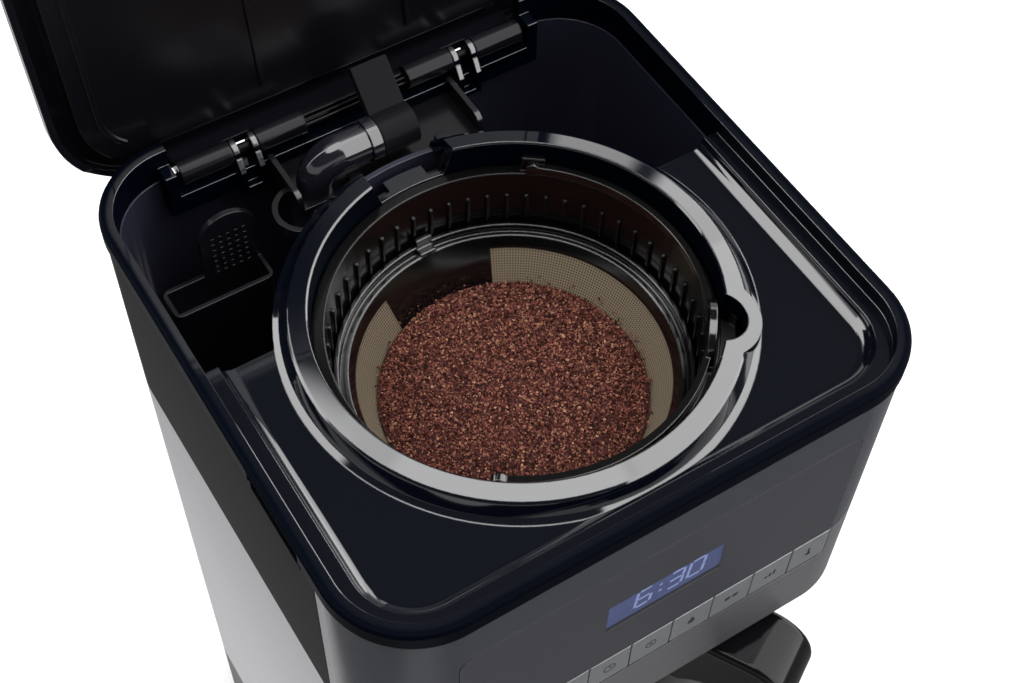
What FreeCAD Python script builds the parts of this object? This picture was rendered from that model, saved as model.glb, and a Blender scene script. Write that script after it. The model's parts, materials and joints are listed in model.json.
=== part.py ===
import FreeCAD, Part
import math
import os
from FreeCAD import Vector

# Drip coffee maker: a C-shaped body with a head over a carafe bay, a water tank at the back of
# the head, a lift-out brew basket with a permanent filter, a hinged lid and a glass carafe.
# Millimetres, +Z up, front towards -Y, origin on the table at the centre of the footprint.

# Overall body
width = 200.0
depth = 200.0
corner_radius = 29.5
foot_height = 4.0
base_top = 45.0
head_bottom = 222.0
seam_height = 270.0
rim_top = 355.0

# Skins and clearances
skin_inset = 0.6
steel_thickness = 1.0
shell_thickness = 1.5
upper_wall = 2.5
seat_gap = 0.2
panel_gap = 0.4
moving_gap = 0.3
pin_clearance = 0.05

# Seams between the skins
fascia_depth = 35.0
fascia_seam_y = fascia_depth - depth / 2.0
back_seam_x = 60.0
arm_setback = 60.0
arm_front_y = arm_setback - depth / 2.0

# Rim, ledge and deck of the top frame
rim_width = 4.7
rim_edge_radius = 1.2
ledge_height = 349.5
ledge_inset = 10.0
deck_height = 345.0
deck_thickness = 2.2
deck_fillet = 5.0
rim_flange = 1.0
deck_length = 113.5
tank_front = deck_length - depth / 2.0
grip_length = 31.0
grip_setback = 58.5
grip_center_y = grip_setback - depth / 2.0
grip_depth = 1.6
grip_height = 5.0

# Brew axis and collar
brew_setback = 87.5
brew_y = brew_setback - depth / 2.0
collar_inner_r = 64.8
collar_land = 7.0
collar_flare = 2.4
collar_foot = 2.0
collar_top_r = collar_inner_r + collar_land
collar_flare_r = collar_top_r + collar_flare
collar_foot_r = collar_flare_r + collar_foot
collar_inner_z = 351.0
collar_outer_z = 350.0
collar_wall = 2.3
collar_skirt_z = 338.0
notch_center_x = -1.0
notch_floor_z = 340.0
notch_bottom_width = 24.0
notch_top_width = 31.0
saddle_width = 15.0
saddle_depth = 7.0
saddle_thickness = 1.6
finger_angle = -37.0
finger_r = 9.0
finger_center_r = 62.5
finger_bump_r = 15.5
finger_bump_center_r = 60.5

# Brew chamber
chamber_r = collar_top_r - collar_wall - seat_gap
chamber_wall = 2.0
chamber_top = 347.6
chamber_floor = 250.0
chamber_outlet_r = 15.0
chamber_outlet_top = 238.0
chamber_outlet_bottom = 226.0
seat_ledge_z = 337.7
seat_overlap = 2.0
seat_ledge_r = collar_inner_r - seat_overlap
seat_ledge_drop = 4.0

# Brew basket
basket_clearance = 0.5
basket_rim_r = collar_inner_r - basket_clearance
basket_rim_z = 340.3
basket_flange = 2.1
basket_wall_r = basket_rim_r - basket_flange
basket_wall = 1.8
basket_floor = 256.0
basket_cone_z = 246.0
basket_cone_r = 13.0
basket_spout_r = 9.0
basket_spout_bottom = 230.0
valve_hole_r = 5.0
basket_ribs = 56
rib_depth = 0.9
rib_width = 1.2
rib_low_z = 276.0
rib_high_z = 330.0
filter_rests = 4
rest_thickness = 2.0
ear_radial = 2.0
ear_width = 8.0
ear_height = 5.6
bail_angle = finger_angle

# Bail handle
bail_width = 2.5
bail_outer_r = basket_wall_r - moving_gap
bail_inner_r = bail_outer_r - bail_width
bail_height = 3.2
bail_pin_r = 1.4
bail_knuckle_r = 2.6
tab_width = 26.0
tab_top = 351.6
tab_thickness = 2.4
tab_ring = 2.6

# Permanent filter
filter_rim_r = 59.0
filter_rim_z = 317.0
filter_inner_r = 54.4
filter_inner_z = 315.0
filter_groove = 2.5
filter_bottom_r = 28.0
filter_bottom_z = 266.0
filter_wall = 1.8
filter_windows = 2
solid_angle = 47.0
window_rib_angle = 8.0
window_top_z = 311.0
window_bottom_z = 271.0
mesh_thickness = 0.6
filter_tab_angle = 91.0
filter_tab_width = 6.0
filter_tab_height = 3.0

# Coffee grounds
grounds_edge_z = 300.0
grounds_heap = 9.0
grounds_gap = 0.3

# Drip-stop valve
plunger_disc_r = 9.0
plunger_disc_z = 246.2
plunger_disc_height = 2.4
plunger_stem_r = 3.6
plunger_tip_z = 217.6
spring_mean_r = 5.2
spring_wire = 0.9
spring_turns = 5
spring_top_z = 259.0
valve_cap_height = 2.0
valve_leg_r = 11.0
valve_leg_wall = 1.8

# Hinge and lid
hinge_setback = 6.5
hinge_y = depth / 2.0 - hinge_setback
hinge_z = 344.0
lid_open_angle = 98.0
lid_gap = 0.4
lid_height = 7.2
lid_wall = 2.4
lid_corner_radius = 33.0
lid_edge_radius = 3.0
liner_inset = 9.0
liner_drop = 2.0
liner_wall = 1.8
liner_setback = 7.5
liner_back_y = hinge_y - liner_setback
liner_rib = 0.8
liner_rib_width = 1.6
liner_rib_x = 28.0
hinge_pin_r = 1.5
barrel_r = 4.2
barrel_inner_x = 20.0
barrel_outer_x = 66.0
web_thickness = 3.0
swing_clearance = 0.5
bracket_x = 42.5
bracket_width = 9.0
bracket_plate = 2.0
bracket_reach = 7.5
bracket_front_y = hinge_y - bracket_reach
beam_reach = 4.5
hinge_beam_y = hinge_y - beam_reach
hinge_beam_low = 330.0
hinge_beam_top = 338.0
hinge_cut_x = 68.0
spray_r = 32.0
spray_height = 3.0
spray_hole_r = 1.5
spray_holes = 8
spray_hole_ring = 20.0

# Water tank
tank_wall = 1.9
tank_bottom = 225.0
tank_floor = 2.0
tank_gap = 4.3
outlet_x = 45.0
outlet_setback = 28.0
outlet_y = depth / 2.0 - outlet_setback
outlet_r = 5.0
nipple_wall = 1.8
nipple_bottom = 208.0
sleeve_r = 9.0
sleeve_wall = 1.6

# Hot-water pipe, bridge and pouring arm
pipe_reach = 86.5
pipe_y = brew_y + pipe_reach
pipe_z = 345.0
pipe_riser_x = -26.0
pipe_r = 6.5
pipe_bore = 4.5
pipe_bend = 9.5
pipe_end_x = -2.6
pipe_bottom_z = 320.0
pipe_collar = 1.0
pipe_collar_length = 4.0
spigot_r = 4.4
spigot_bore = 3.2
spigot_length = 8.0
bridge_half = 36.0
bridge_lip = 7.5
bridge_front_y = pipe_y - bridge_lip
bridge_top = 333.4
bridge_thickness = 2.4
fin_height = 7.0
fin_thickness = 2.0
hook_width = 4.5
hook_height = 5.0
hook_left_x = -14.0
hook_right_x = 20.0
guide_r = 11.0
arm_length = 24.0
arm_width = 13.5
arm_thickness = 3.6
arm_channel = 8.0
arm_skin = 1.0
arm_knuckle_r = 7.5
arm_swing = 135.0

# Water filter holder
holder_setback = 14.0
holder_width = 37.0
holder_left = holder_setback - width / 2.0
holder_right = holder_left + holder_width
holder_back_gap = 37.0
holder_front = depth / 2.0 - holder_back_gap
holder_depth = 13.0
holder_top = 312.0
holder_wall = 1.6
tongue_width = 21.0
tongue_top = 339.0
tongue_thickness = 2.2
slot_rows = 7
slot_columns = 5
slot_size = 1.3
slot_pitch = 2.9
cartridge_height = 50.0

# Control panel, buttons and display
panel_half = 73.0
panel_top = 330.0
panel_corner = 5.0
panel_thickness = 1.0
display_x = 1.0
display_width = 43.0
display_height = 16.0
display_rise = 1.0
display_low = (seam_height + panel_top - display_height) / 2.0 + display_rise
display_depth = 1.0
lcd_margin = 3.0
lcd_depth = 4.0
button_count = 9
button_pitch = 16.4
button_height = 17.0
button_low = seam_height - button_height
button_gap = 0.5
button_thickness = 2.4
button_travel = 1.2
button_stem_r = 2.2
switch_size = 6.0
guide_front = 5.6
guide_thickness = 2.0
switch_height = 3.4
board_thickness = 1.6
board_depth = 12.0

# Carafe bay and carafe
bay_r = 78.0
bay_wall = 2.5
plate_r = 62.0
plate_height = 47.5
plate_thickness = 2.0
plate_hole_r = 57.0
seal_width = 1.6
carafe_bottom_r = 57.0
carafe_belly_r = 66.0
carafe_belly_z = 92.0
carafe_neck_r = 47.0
carafe_neck_z = 178.0
carafe_top = 192.0
glass_thickness = 2.2
band_height = 14.0
band_thickness = 2.0
carafe_lid_top = 214.0
carafe_lid_wall = 2.4
carafe_inlet_r = 13.0
handle_angle = -60.0
handle_width = 27.0
handle_reach = 122.0
handle_low_z = 84.0
handle_top_z = 212.0
handle_thickness = 13.0
handle_bend = 34.0
handle_root_r = 66.0
lug_r = 5.0
carafe_pin_r = 1.6
lid_pivot_r = 58.0
lid_pivot_z = 203.0

# Base, heater and hoses
base_wall = 2.5
base_roof = 3.0
cover_thickness = 2.0
foot_r = 9.0
foot_spread = 72.0
screw_spread = 60.0
screw_r = 1.6
screw_head_r = 3.4
screw_length = 20.0
heater_ring_r = 40.0
heater_tube_r = 6.0
heater_drop = 6.5
heater_leg = 27.0
heater_bore = 3.8
hose_turn = 17.0
hose_turn_y = outlet_y - hose_turn
clip_width = 12.0
clip_thickness = 1.5
thermostat_r = 8.5
thermostat_height = 9.0
fuse_r = 2.6
fuse_length = 24.0
fuse_place = 24.0
fuse_pitch = 8.0
hose_r = 6.2
hose_bore = 4.0
hose_bend = 10.0
valve_body_r = 8.0
valve_body_length = 20.0
valve_body_z = 150.0
gland_setback = 38.0
gland_x = width / 2.0 - gland_setback
gland_z = 24.0
gland_r = 7.0
gland_flange = 2.5
gland_length = 7.0

# Sizes that follow from the driving dimensions
half_w = width / 2.0
half_d = depth / 2.0
frame_inset = skin_inset + upper_wall + seat_gap
steel_inner = skin_inset + steel_thickness
shell_inner = steel_inner + shell_thickness
frame_low = deck_height - deck_thickness
flange_low = ledge_height - rim_flange
tank_r = chamber_r + tank_gap
spring_bottom_z = plunger_disc_z + plunger_disc_height
spring_length = spring_top_z - spring_bottom_z
lid_low = rim_top + lid_gap
lid_top = lid_low + lid_height
liner_low = lid_low - liner_drop
cover_low = foot_height
board_front = -half_d + board_depth
plate_seat = plate_height - plate_thickness
heater_high = plate_seat - heater_tube_r
heater_z = heater_high - heater_drop
brew = Vector(0, brew_y, 0)
X_AXIS = Vector(1, 0, 0)
Y_AXIS = Vector(0, 1, 0)
Z_AXIS = Vector(0, 0, 1)


# Shape helpers

def box(x0, x1, y0, y1, z0, z1):
    """Block between two corners."""
    return Part.makeBox(x1 - x0, y1 - y0, z1 - z0, Vector(x0, y0, z0))


def cylinder(radius, x, y, z0, z1):
    """Upright cylinder."""
    return Part.makeCylinder(radius, z1 - z0, Vector(x, y, z0))


def tube(outer, inner, x, y, z0, z1):
    """Upright tube."""
    return cylinder(outer, x, y, z0, z1).cut(cylinder(inner, x, y, z0 - 1, z1 + 1))


def rod_x(radius, x0, x1, y, z):
    """Cylinder along X."""
    return Part.makeCylinder(radius, x1 - x0, Vector(x0, y, z), X_AXIS)


def rounded_outline(half_x, half_y, radius, z):
    """Closed wire of a rectangle with round corners."""
    inner_x = half_x - radius
    inner_y = half_y - radius
    diagonal = radius * math.sqrt(0.5)
    edges = []
    corners = ((1, 1), (-1, 1), (-1, -1), (1, -1))
    for index, (sx, sy) in enumerate(corners):
        side = Vector(sx * half_x, sy * inner_y, z)
        end = Vector(sx * inner_x, sy * half_y, z)
        middle = Vector(sx * (inner_x + diagonal), sy * (inner_y + diagonal), z)
        start, stop = (side, end) if sx * sy > 0 else (end, side)
        edges.append(Part.Arc(start, middle, stop).toShape())
        nx, ny = corners[(index + 1) % 4]
        if nx * ny > 0:
            following = Vector(nx * half_x, ny * inner_y, z)
        else:
            following = Vector(nx * inner_x, ny * half_y, z)
        edges.append(Part.LineSegment(stop, following).toShape())
    return Part.Wire(edges)


def footprint(inset, low, high):
    """Upright prism of the body's plan, drawn in by inset."""
    wire = rounded_outline(half_w - inset, half_d - inset, corner_radius - inset, low)
    return Part.Face(wire).extrude(Vector(0, 0, high - low))


def ring(outer_inset, inner_inset, low, high):
    """Wall that follows the body's plan between two insets."""
    return footprint(outer_inset, low, high).cut(footprint(inner_inset, low - 1, high + 1))


def polygon_face(points):
    """Flat face through a list of points."""
    return Part.Face(Part.makePolygon(points + [points[0]]))


def revolved(profile, center=brew, angle=360.0, start=0.0):
    """Turn a profile of (radius, height) points about an upright axis."""
    points = [Vector(r, 0, z) for r, z in profile]
    solid = polygon_face(points).revolve(Vector(0, 0, 0), Z_AXIS, angle)
    solid.rotate(Vector(0, 0, 0), Z_AXIS, start)
    solid.translate(center)
    return solid


def polar(radius, angle, z=0.0):
    """Point about the brew axis."""
    turn = math.radians(angle)
    return Vector(radius * math.cos(turn), brew_y + radius * math.sin(turn), z)


def about_brew(shape, angle):
    """Turn a shape drawn along +X from the brew axis to an angle about it."""
    shape.rotate(brew, Z_AXIS, angle)
    return shape


def fused(shapes):
    """One solid from overlapping shapes, with shared faces merged."""
    result = shapes[0].multiFuse(shapes[1:]) if len(shapes) > 1 else shapes[0]
    return result.removeSplitter()


def rounded_path(points, bend):
    """Straight runs joined by tangent arcs of one bend radius."""
    edges = []
    start = points[0]
    for before, corner, after in zip(points, points[1:], points[2:]):
        back = (before - corner).normalize()
        ahead = (after - corner).normalize()
        half = back.getAngle(ahead) / 2.0
        reach = bend / math.tan(half)
        first = corner + back * reach
        last = corner + ahead * reach
        inward = (back + ahead).normalize()
        middle = corner + inward * (bend / math.sin(half) - bend)
        edges.append(Part.LineSegment(start, first).toShape())
        edges.append(Part.Arc(first, middle, last).toShape())
        start = last
    edges.append(Part.LineSegment(start, points[-1]).toShape())
    return Part.Wire(edges)


def swept(path, start, direction, radius):
    """Round bar along a path."""
    section = Part.Wire(Part.makeCircle(radius, start, direction))
    return path.makePipeShell([section], True, False)


def hose(points, bend, outer, bore):
    """Hollow hose along straight runs and arcs."""
    path = rounded_path(points, bend)
    direction = points[1] - points[0]
    return swept(path, points[0], direction, outer).cut(swept(path, points[0], direction, bore))


def mirrored(shape):
    """Copy on the other side of the YZ plane."""
    return shape.mirror(Vector(0, 0, 0), X_AXIS)


def save(name, shape):
    """Write one piece."""
    shape.exportStep("parts/" + name + ".step")


# Base and heater

def make_base_shell():
    """Base tray turned over: walls, roof with the plate hole, and hose holes."""
    shell = footprint(skin_inset, cover_low, base_top)
    shell = shell.cut(footprint(skin_inset + base_wall, cover_low - 1, base_top - base_roof))
    shell = shell.cut(cylinder(plate_hole_r, 0, brew_y, cover_low, base_top + 1))
    for x, y in ((outlet_x, outlet_y), (pipe_riser_x, pipe_y)):
        shell = shell.cut(cylinder(hose_r + 1.0, x, y, cover_low, base_top + 1))
    posts = []
    for sx in (-1, 1):
        for sy in (-1, 1):
            posts.append(cylinder(screw_head_r + 1.2, sx * screw_spread, sy * screw_spread + brew_y / 2,
                                  cover_low + cover_thickness, base_top - base_roof))
    shell = fused([shell] + posts)
    for sx in (-1, 1):
        for sy in (-1, 1):
            shell = shell.cut(cylinder(screw_r + pin_clearance, sx * screw_spread,
                                       sy * screw_spread + brew_y / 2, cover_low,
                                       cover_low + screw_length + 1))
    return shell.cut(Part.makeCylinder(gland_r, 2 * base_wall + 2,
                                       Vector(gland_x, half_d - base_wall - 2, gland_z), Y_AXIS))


def make_bottom_cover():
    """Plate that closes the base from below, with air slots under the heater."""
    cover = footprint(skin_inset + base_wall + seat_gap, cover_low, cover_low + cover_thickness)
    for index in range(-3, 4):
        slot = box(index * 9.0 - 1.5, index * 9.0 + 1.5, brew_y - 18, brew_y + 18, 0, base_top)
        cover = cover.cut(slot)
    for sx in (-1, 1):
        for sy in (-1, 1):
            cover = cover.cut(cylinder(screw_r + pin_clearance, sx * screw_spread,
                                       sy * screw_spread + brew_y / 2, 0, base_top))
    return cover


def make_rubber_feet():
    """Four feet under the bottom cover."""
    feet = []
    for sx in (-1, 1):
        for sy in (-1, 1):
            foot = Part.makeCone(foot_r - 1.0, foot_r, foot_height,
                                 Vector(sx * foot_spread, sy * foot_spread, 0))
            feet.append(foot)
    return Part.makeCompound(feet)


def make_base_screws():
    """Four screws that hold the bottom cover."""
    screws = []
    for sx in (-1, 1):
        for sy in (-1, 1):
            x = sx * screw_spread
            y = sy * screw_spread + brew_y / 2
            head = cylinder(screw_head_r, x, y, cover_low - 1.8, cover_low)
            screws.append(head.fuse(cylinder(screw_r, x, y, cover_low, cover_low + screw_length)))
    return Part.makeCompound(screws)


def make_hot_plate():
    """Flat warming plate with a bevelled edge."""
    bevel = plate_thickness / 2.0
    return revolved([(0, plate_seat), (plate_r, plate_seat), (plate_r, plate_height - bevel),
                     (plate_r - bevel, plate_height), (0, plate_height)])


def make_hot_plate_seal():
    """Silicone ring between the plate and the base roof."""
    low = revolved([(plate_hole_r - seal_width, base_top - base_roof),
                    (plate_hole_r - seat_gap, base_top - base_roof),
                    (plate_hole_r - seat_gap, base_top), (plate_r, base_top), (plate_r, plate_seat),
                    (plate_hole_r - seal_width, plate_seat)])
    return low


def heater_end(side):
    """End of the heater's leg, on the left (-1) or the right (1)."""
    return Vector(side * heater_ring_r, brew_y + heater_leg, heater_z)


def make_heater_element():
    """U-shaped heater: heating rod above and water tube below, pressed to the plate."""
    r = heater_tube_r
    x = heater_ring_r
    high = heater_high
    low = heater_z
    rim = [Part.Arc(Vector(x - r, 0, low), Vector(x, 0, low - r), Vector(x + r, 0, low)).toShape(),
           Part.LineSegment(Vector(x + r, 0, low), Vector(x + r, 0, high)).toShape(),
           Part.Arc(Vector(x + r, 0, high), Vector(x, 0, high + r), Vector(x - r, 0, high)).toShape(),
           Part.LineSegment(Vector(x - r, 0, high), Vector(x - r, 0, low)).toShape()]
    bore = Part.Wire(Part.makeCircle(heater_bore, Vector(x, 0, low), Y_AXIS))
    section = Part.Face(Part.Wire(rim)).cut(Part.Face(bore))
    bend = section.revolve(Vector(0, 0, 0), Z_AXIS, -180)
    right = section.extrude(Vector(0, heater_leg, 0))
    left = mirrored(right)
    heater = fused([bend, right, left])
    heater.translate(brew)
    return heater


def make_heater_clip():
    """Spring-steel strap that presses the heater to the plate."""
    top = heater_z - heater_tube_r
    low = top - clip_thickness
    reach = heater_ring_r + heater_tube_r
    strap = box(-reach, reach, brew_y - clip_width / 2, brew_y + clip_width / 2, low, top)
    return strap.cut(cylinder(screw_r, 0, brew_y, low - 1, top + 1))


def make_thermostat():
    """Disc thermostat on the plate's underside."""
    body = cylinder(thermostat_r, 0, brew_y - 24, plate_seat - thermostat_height, plate_seat)
    tab_half = 3.0
    for sx in (-1, 1):
        x = sx * (thermostat_r - 1.5)
        tab = box(x - 0.4, x + 0.4, brew_y - 24 - tab_half, brew_y - 24 + tab_half,
                  plate_seat - thermostat_height - 7, plate_seat - thermostat_height + 1)
        body = body.fuse(tab)
    return body.removeSplitter()


def make_thermal_fuses():
    """Two thermal fuses side by side under the plate."""
    fuses = []
    middle = brew_y + fuse_place
    for y in (middle - fuse_pitch / 2.0, middle + fuse_pitch / 2.0):
        fuses.append(rod_x(fuse_r, -fuse_length / 2, fuse_length / 2, y, plate_seat - fuse_r))
    return Part.makeCompound(fuses)


def make_inlet_hose():
    """Cold-water hose from the check valve down to the heater."""
    end = heater_end(1)
    turn = Vector(end.x, hose_turn_y, heater_z)
    return hose([Vector(outlet_x, outlet_y, valve_body_z), Vector(outlet_x, outlet_y, heater_z), turn, end],
                hose_bend, hose_r, hose_bore)


def make_riser_hose():
    """Hot-water hose from the heater up through the column to the outlet pipe."""
    end = heater_end(-1)
    turn = Vector(end.x, hose_turn_y, heater_z)
    return hose([Vector(pipe_riser_x, pipe_y, pipe_bottom_z), Vector(pipe_riser_x, pipe_y, heater_z), turn,
                 end], hose_bend, hose_r, hose_bore)


def make_check_valve():
    """One-way valve body between the tank's nipple and the inlet hose."""
    low = valve_body_z
    high = nipple_bottom
    middle = (low + high) / 2.0
    profile = [(hose_bore, low), (hose_r, low), (hose_r, middle - valve_body_length / 2),
               (valve_body_r, middle - valve_body_length / 2),
               (valve_body_r, middle + valve_body_length / 2), (hose_r, middle + valve_body_length / 2),
               (hose_r, high), (hose_bore, high)]
    return revolved(profile, Vector(outlet_x, outlet_y, 0))


def make_cord_gland():
    """Bushing where the supply lead enters the back of the base."""
    start = half_d - skin_inset - base_wall
    neck = Part.makeCylinder(gland_r - seat_gap, base_wall, Vector(gland_x, start, gland_z), Y_AXIS)
    flange = Part.makeCone(gland_r + gland_flange, gland_r, gland_length - base_wall,
                           Vector(gland_x, half_d - skin_inset, gland_z), Y_AXIS)
    bore = Part.makeCylinder(gland_r / 2, 3 * gland_length, Vector(gland_x, start - 1, gland_z), Y_AXIS)
    return neck.fuse(flange).cut(bore).removeSplitter()


# Column and skins

def bay_cut(radius, half, front, low, high):
    """Space of the carafe bay: a round back that opens to the front."""
    space = cylinder(radius, 0, brew_y, low, high)
    space = space.fuse(box(-half, half, -half_d - 1, brew_y, low, high))
    return space.fuse(box(-half_w, half_w, -half_d - 1, front, low, high))


def make_column_shell():
    """Hollow column behind the carafe, with two arms beside it."""
    outer = footprint(steel_inner, base_top, head_bottom)
    outer = outer.cut(bay_cut(bay_r, bay_r, arm_front_y, base_top - 1, head_bottom + 1))
    inner = footprint(steel_inner + bay_wall, base_top - 1, head_bottom + 1)
    inner = inner.cut(bay_cut(bay_r + bay_wall, bay_r + bay_wall, arm_front_y + bay_wall,
                              base_top - 2, head_bottom + 2))
    return outer.cut(inner)


def make_side_panel():
    """Left brushed-steel skin: the head's lower band and the column's side in one sheet."""
    skin = ring(skin_inset, steel_inner, base_top, seam_height - panel_gap)
    skin = skin.cut(box(-half_w, half_w, -half_d, fascia_seam_y + panel_gap, base_top - 1, seam_height))
    skin = skin.cut(box(-half_w, half_w, -half_d, arm_front_y, base_top - 1, head_bottom))
    return skin.common(box(-half_w, -back_seam_x, -half_d, half_d, base_top - 1, seam_height))


def make_back_cover():
    """Black sheet that closes the back between the two steel skins."""
    skin = ring(skin_inset, steel_inner, base_top, seam_height - panel_gap)
    edge = back_seam_x - panel_gap
    return skin.common(box(-edge, edge, 0, half_d, base_top - 1, seam_height))


def make_front_strip():
    """Brushed-steel strip round the front of the head, open above for the buttons."""
    skin = ring(skin_inset, steel_inner, head_bottom, seam_height - panel_gap)
    skin = skin.common(box(-half_w, half_w, -half_d, fascia_seam_y, head_bottom - 1, seam_height))
    row = button_count * button_pitch / 2.0
    return skin.cut(box(-row, row, -half_d, 0, button_low - button_gap, seam_height + 1))


def make_head_shell():
    """Lower shell of the head: a wall behind the steel and the floor over the carafe."""
    wall = ring(steel_inner, shell_inner, head_bottom, seam_height)
    floor = footprint(steel_inner, head_bottom, tank_bottom - moving_gap)
    shell = fused([wall, floor])
    shell = shell.cut(cylinder(chamber_outlet_r + 8, 0, brew_y, head_bottom - 1, tank_bottom + 1))
    shell = shell.cut(cylinder(outlet_r + nipple_wall + 1, outlet_x, outlet_y,
                               head_bottom - 1, tank_bottom + 1))
    shell = shell.cut(cylinder(hose_r + 1, pipe_riser_x, pipe_y, head_bottom - 1, tank_bottom + 1))
    row = button_count * button_pitch / 2.0
    shell = shell.cut(box(-row, row, -half_d, -half_d + guide_front, button_low - button_gap,
                          seam_height + 1))
    front = -half_d + guide_front
    rail = box(-row, row, front, front + guide_thickness, head_bottom, seam_height - 1)
    shell = fused([shell, rail])
    for index in range(button_count):
        shell = shell.cut(Part.makeCylinder(button_stem_r + pin_clearance, guide_thickness + 2,
                                            Vector(button_x(index), front - 1, button_middle_z()), Y_AXIS))
    return shell


def grip_cut(side):
    """Shallow finger recess under the rim at one side."""
    x = side * half_w
    return box(x - grip_depth - skin_inset, x + grip_depth + skin_inset,
               grip_center_y - grip_length / 2, grip_center_y + grip_length / 2,
               flange_low - grip_height, rim_top - 1.2)


def make_upper_band():
    """Satin black wall of the head's sides and back, lowered at the lid hinge."""
    band = ring(skin_inset, skin_inset + upper_wall, seam_height, flange_low)
    band = band.cut(box(-half_w, half_w, -half_d, fascia_seam_y + panel_gap, 0, rim_top))
    band = band.cut(box(-hinge_cut_x, hinge_cut_x, 0, half_d, hinge_beam_top, rim_top))
    return band.cut(grip_cut(-1)).cut(grip_cut(1))


def panel_outline(margin, low, y):
    """Outline of the control panel in the front face: round top corners, square bottom."""
    half = panel_half + margin
    top = panel_top + margin
    r = panel_corner + margin
    bend = r * (1 - math.sqrt(0.5))
    left = Vector(-half, y, low)
    right = Vector(half, y, low)
    right_side = Vector(half, y, top - r)
    right_top = Vector(half - r, y, top)
    left_top = Vector(-half + r, y, top)
    left_side = Vector(-half, y, top - r)
    return Part.Wire([
        Part.LineSegment(left, right).toShape(),
        Part.LineSegment(right, right_side).toShape(),
        Part.Arc(right_side, Vector(half - bend, y, top - bend), right_top).toShape(),
        Part.LineSegment(right_top, left_top).toShape(),
        Part.Arc(left_top, Vector(-half + bend, y, top - bend), left_side).toShape(),
        Part.LineSegment(left_side, left).toShape()])


def display_box(margin, y0, y1):
    """Block of the display window with a margin, between two depths."""
    half = display_width / 2.0 + margin
    return box(display_x - half, display_x + half, y0, y1, display_low - margin,
               display_low + display_height + margin)


def make_front_fascia():
    """Glossy front of the head, with the pocket that takes the control panel."""
    front = -half_d + skin_inset
    fascia = ring(skin_inset, skin_inset + upper_wall, seam_height, flange_low)
    fascia = fascia.common(box(-half_w, half_w, -half_d, fascia_seam_y, seam_height, rim_top))
    pocket = Part.Face(panel_outline(seat_gap, seam_height - 1, front - 1))
    fascia = fascia.cut(pocket.extrude(Vector(0, 1 + panel_thickness, 0)))
    return fascia.cut(display_box(lcd_margin, -half_d, -half_d + 2 * upper_wall + 1))


def make_control_panel():
    """Thin panel inset in the fascia, with the display opening."""
    front = -half_d + skin_inset
    face = Part.Face(panel_outline(0, seam_height, front))
    panel = face.extrude(Vector(0, panel_thickness, 0))
    return panel.cut(display_box(seat_gap, front - 1, front + panel_thickness + 1))


def make_display_window():
    """Clear window of the display, flush in the panel."""
    front = -half_d + skin_inset
    return display_box(0, front, front + display_depth)


def make_lcd_module():
    """Display cell behind the window, in the fascia's opening."""
    front = -half_d + skin_inset + display_depth
    return display_box(lcd_margin - seat_gap, front, front + lcd_depth)


def button_x(index):
    """Middle of one button."""
    return (index - (button_count - 1) / 2.0) * button_pitch


def button_middle_z():
    """Height of the buttons' middle."""
    return (button_low + seam_height - button_gap) / 2.0


def make_button(index):
    """One push button: a cap in the strip's slot and a stem to its switch."""
    x = button_x(index)
    half = (button_pitch - button_gap) / 2.0
    front = -half_d + skin_inset
    high = seam_height - button_gap
    cap = box(x - half, x + half, front, front + button_thickness, button_low, high)
    edges = [e for e in cap.Edges if e.BoundBox.YMax < front + 0.01]
    cap = cap.makeFillet(0.5, edges)
    stem_end = board_front - switch_height - seat_gap
    stem = Part.makeCylinder(button_stem_r, stem_end - front - button_thickness / 2,
                             Vector(x, front + button_thickness / 2, button_middle_z()), Y_AXIS)
    return cap.fuse(stem).removeSplitter()


def make_control_board():
    """Circuit board behind the strip, on the head's floor, with one switch per button."""
    row = button_count * button_pitch / 2.0
    board = box(-row, row, board_front, board_front + board_thickness, tank_bottom - moving_gap,
                seam_height + 4)
    z = button_middle_z()
    pieces = [board]
    for index in range(button_count):
        x = button_x(index)
        body = box(x - switch_size / 2, x + switch_size / 2, board_front - switch_height + button_travel,
                   board_front, z - switch_size / 2, z + switch_size / 2)
        pieces.append(body)
    return fused(pieces)


# Top frame, tank and brew chamber

def collar_profile():
    """Half section of the brew collar: a sloping top on an inverted channel."""
    inner = collar_inner_r + collar_wall
    return [(collar_inner_r, collar_skirt_z), (collar_inner_r, collar_inner_z - 0.6),
            (collar_inner_r + 0.6, collar_inner_z), (collar_top_r - 0.8, collar_outer_z + 0.1),
            (collar_top_r, collar_outer_z - 0.6), (collar_flare_r, deck_height + 1.0),
            (collar_foot_r, deck_height), (collar_foot_r, frame_low),
            (collar_flare_r - collar_wall, frame_low),
            (collar_top_r - collar_wall, collar_outer_z - collar_wall),
            (inner, collar_inner_z - collar_wall), (inner, collar_skirt_z)]


def collar_slope():
    """Solid under the collar's sloping top, carried outward past the finger opening."""
    start = collar_inner_r + 0.6
    end = collar_top_r - 0.8
    fall = (collar_inner_z - collar_outer_z - 0.1) / (end - start)
    far = finger_bump_center_r + finger_bump_r + 1.0
    return revolved([(0, frame_low), (far, frame_low), (far, collar_inner_z - fall * (far - start)),
                     (start, collar_inner_z), (0, collar_inner_z)])


def notch_cut(drop=0.0):
    """Notch through the back of the collar for the pouring arm, with slanted ends."""
    floor = notch_floor_z - drop
    low = notch_bottom_width / 2.0
    high = notch_top_width / 2.0
    top = rim_top
    rise = (top - notch_floor_z) * (high - low) / (collar_inner_z - notch_floor_z)
    start = brew_y + collar_inner_r / 2
    face = polygon_face([Vector(notch_center_x - low, start, floor),
                         Vector(notch_center_x + low, start, floor),
                         Vector(notch_center_x + low + rise, start, top),
                         Vector(notch_center_x - low - rise, start, top)])
    return face.extrude(Vector(0, collar_foot_r, 0))


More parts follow.
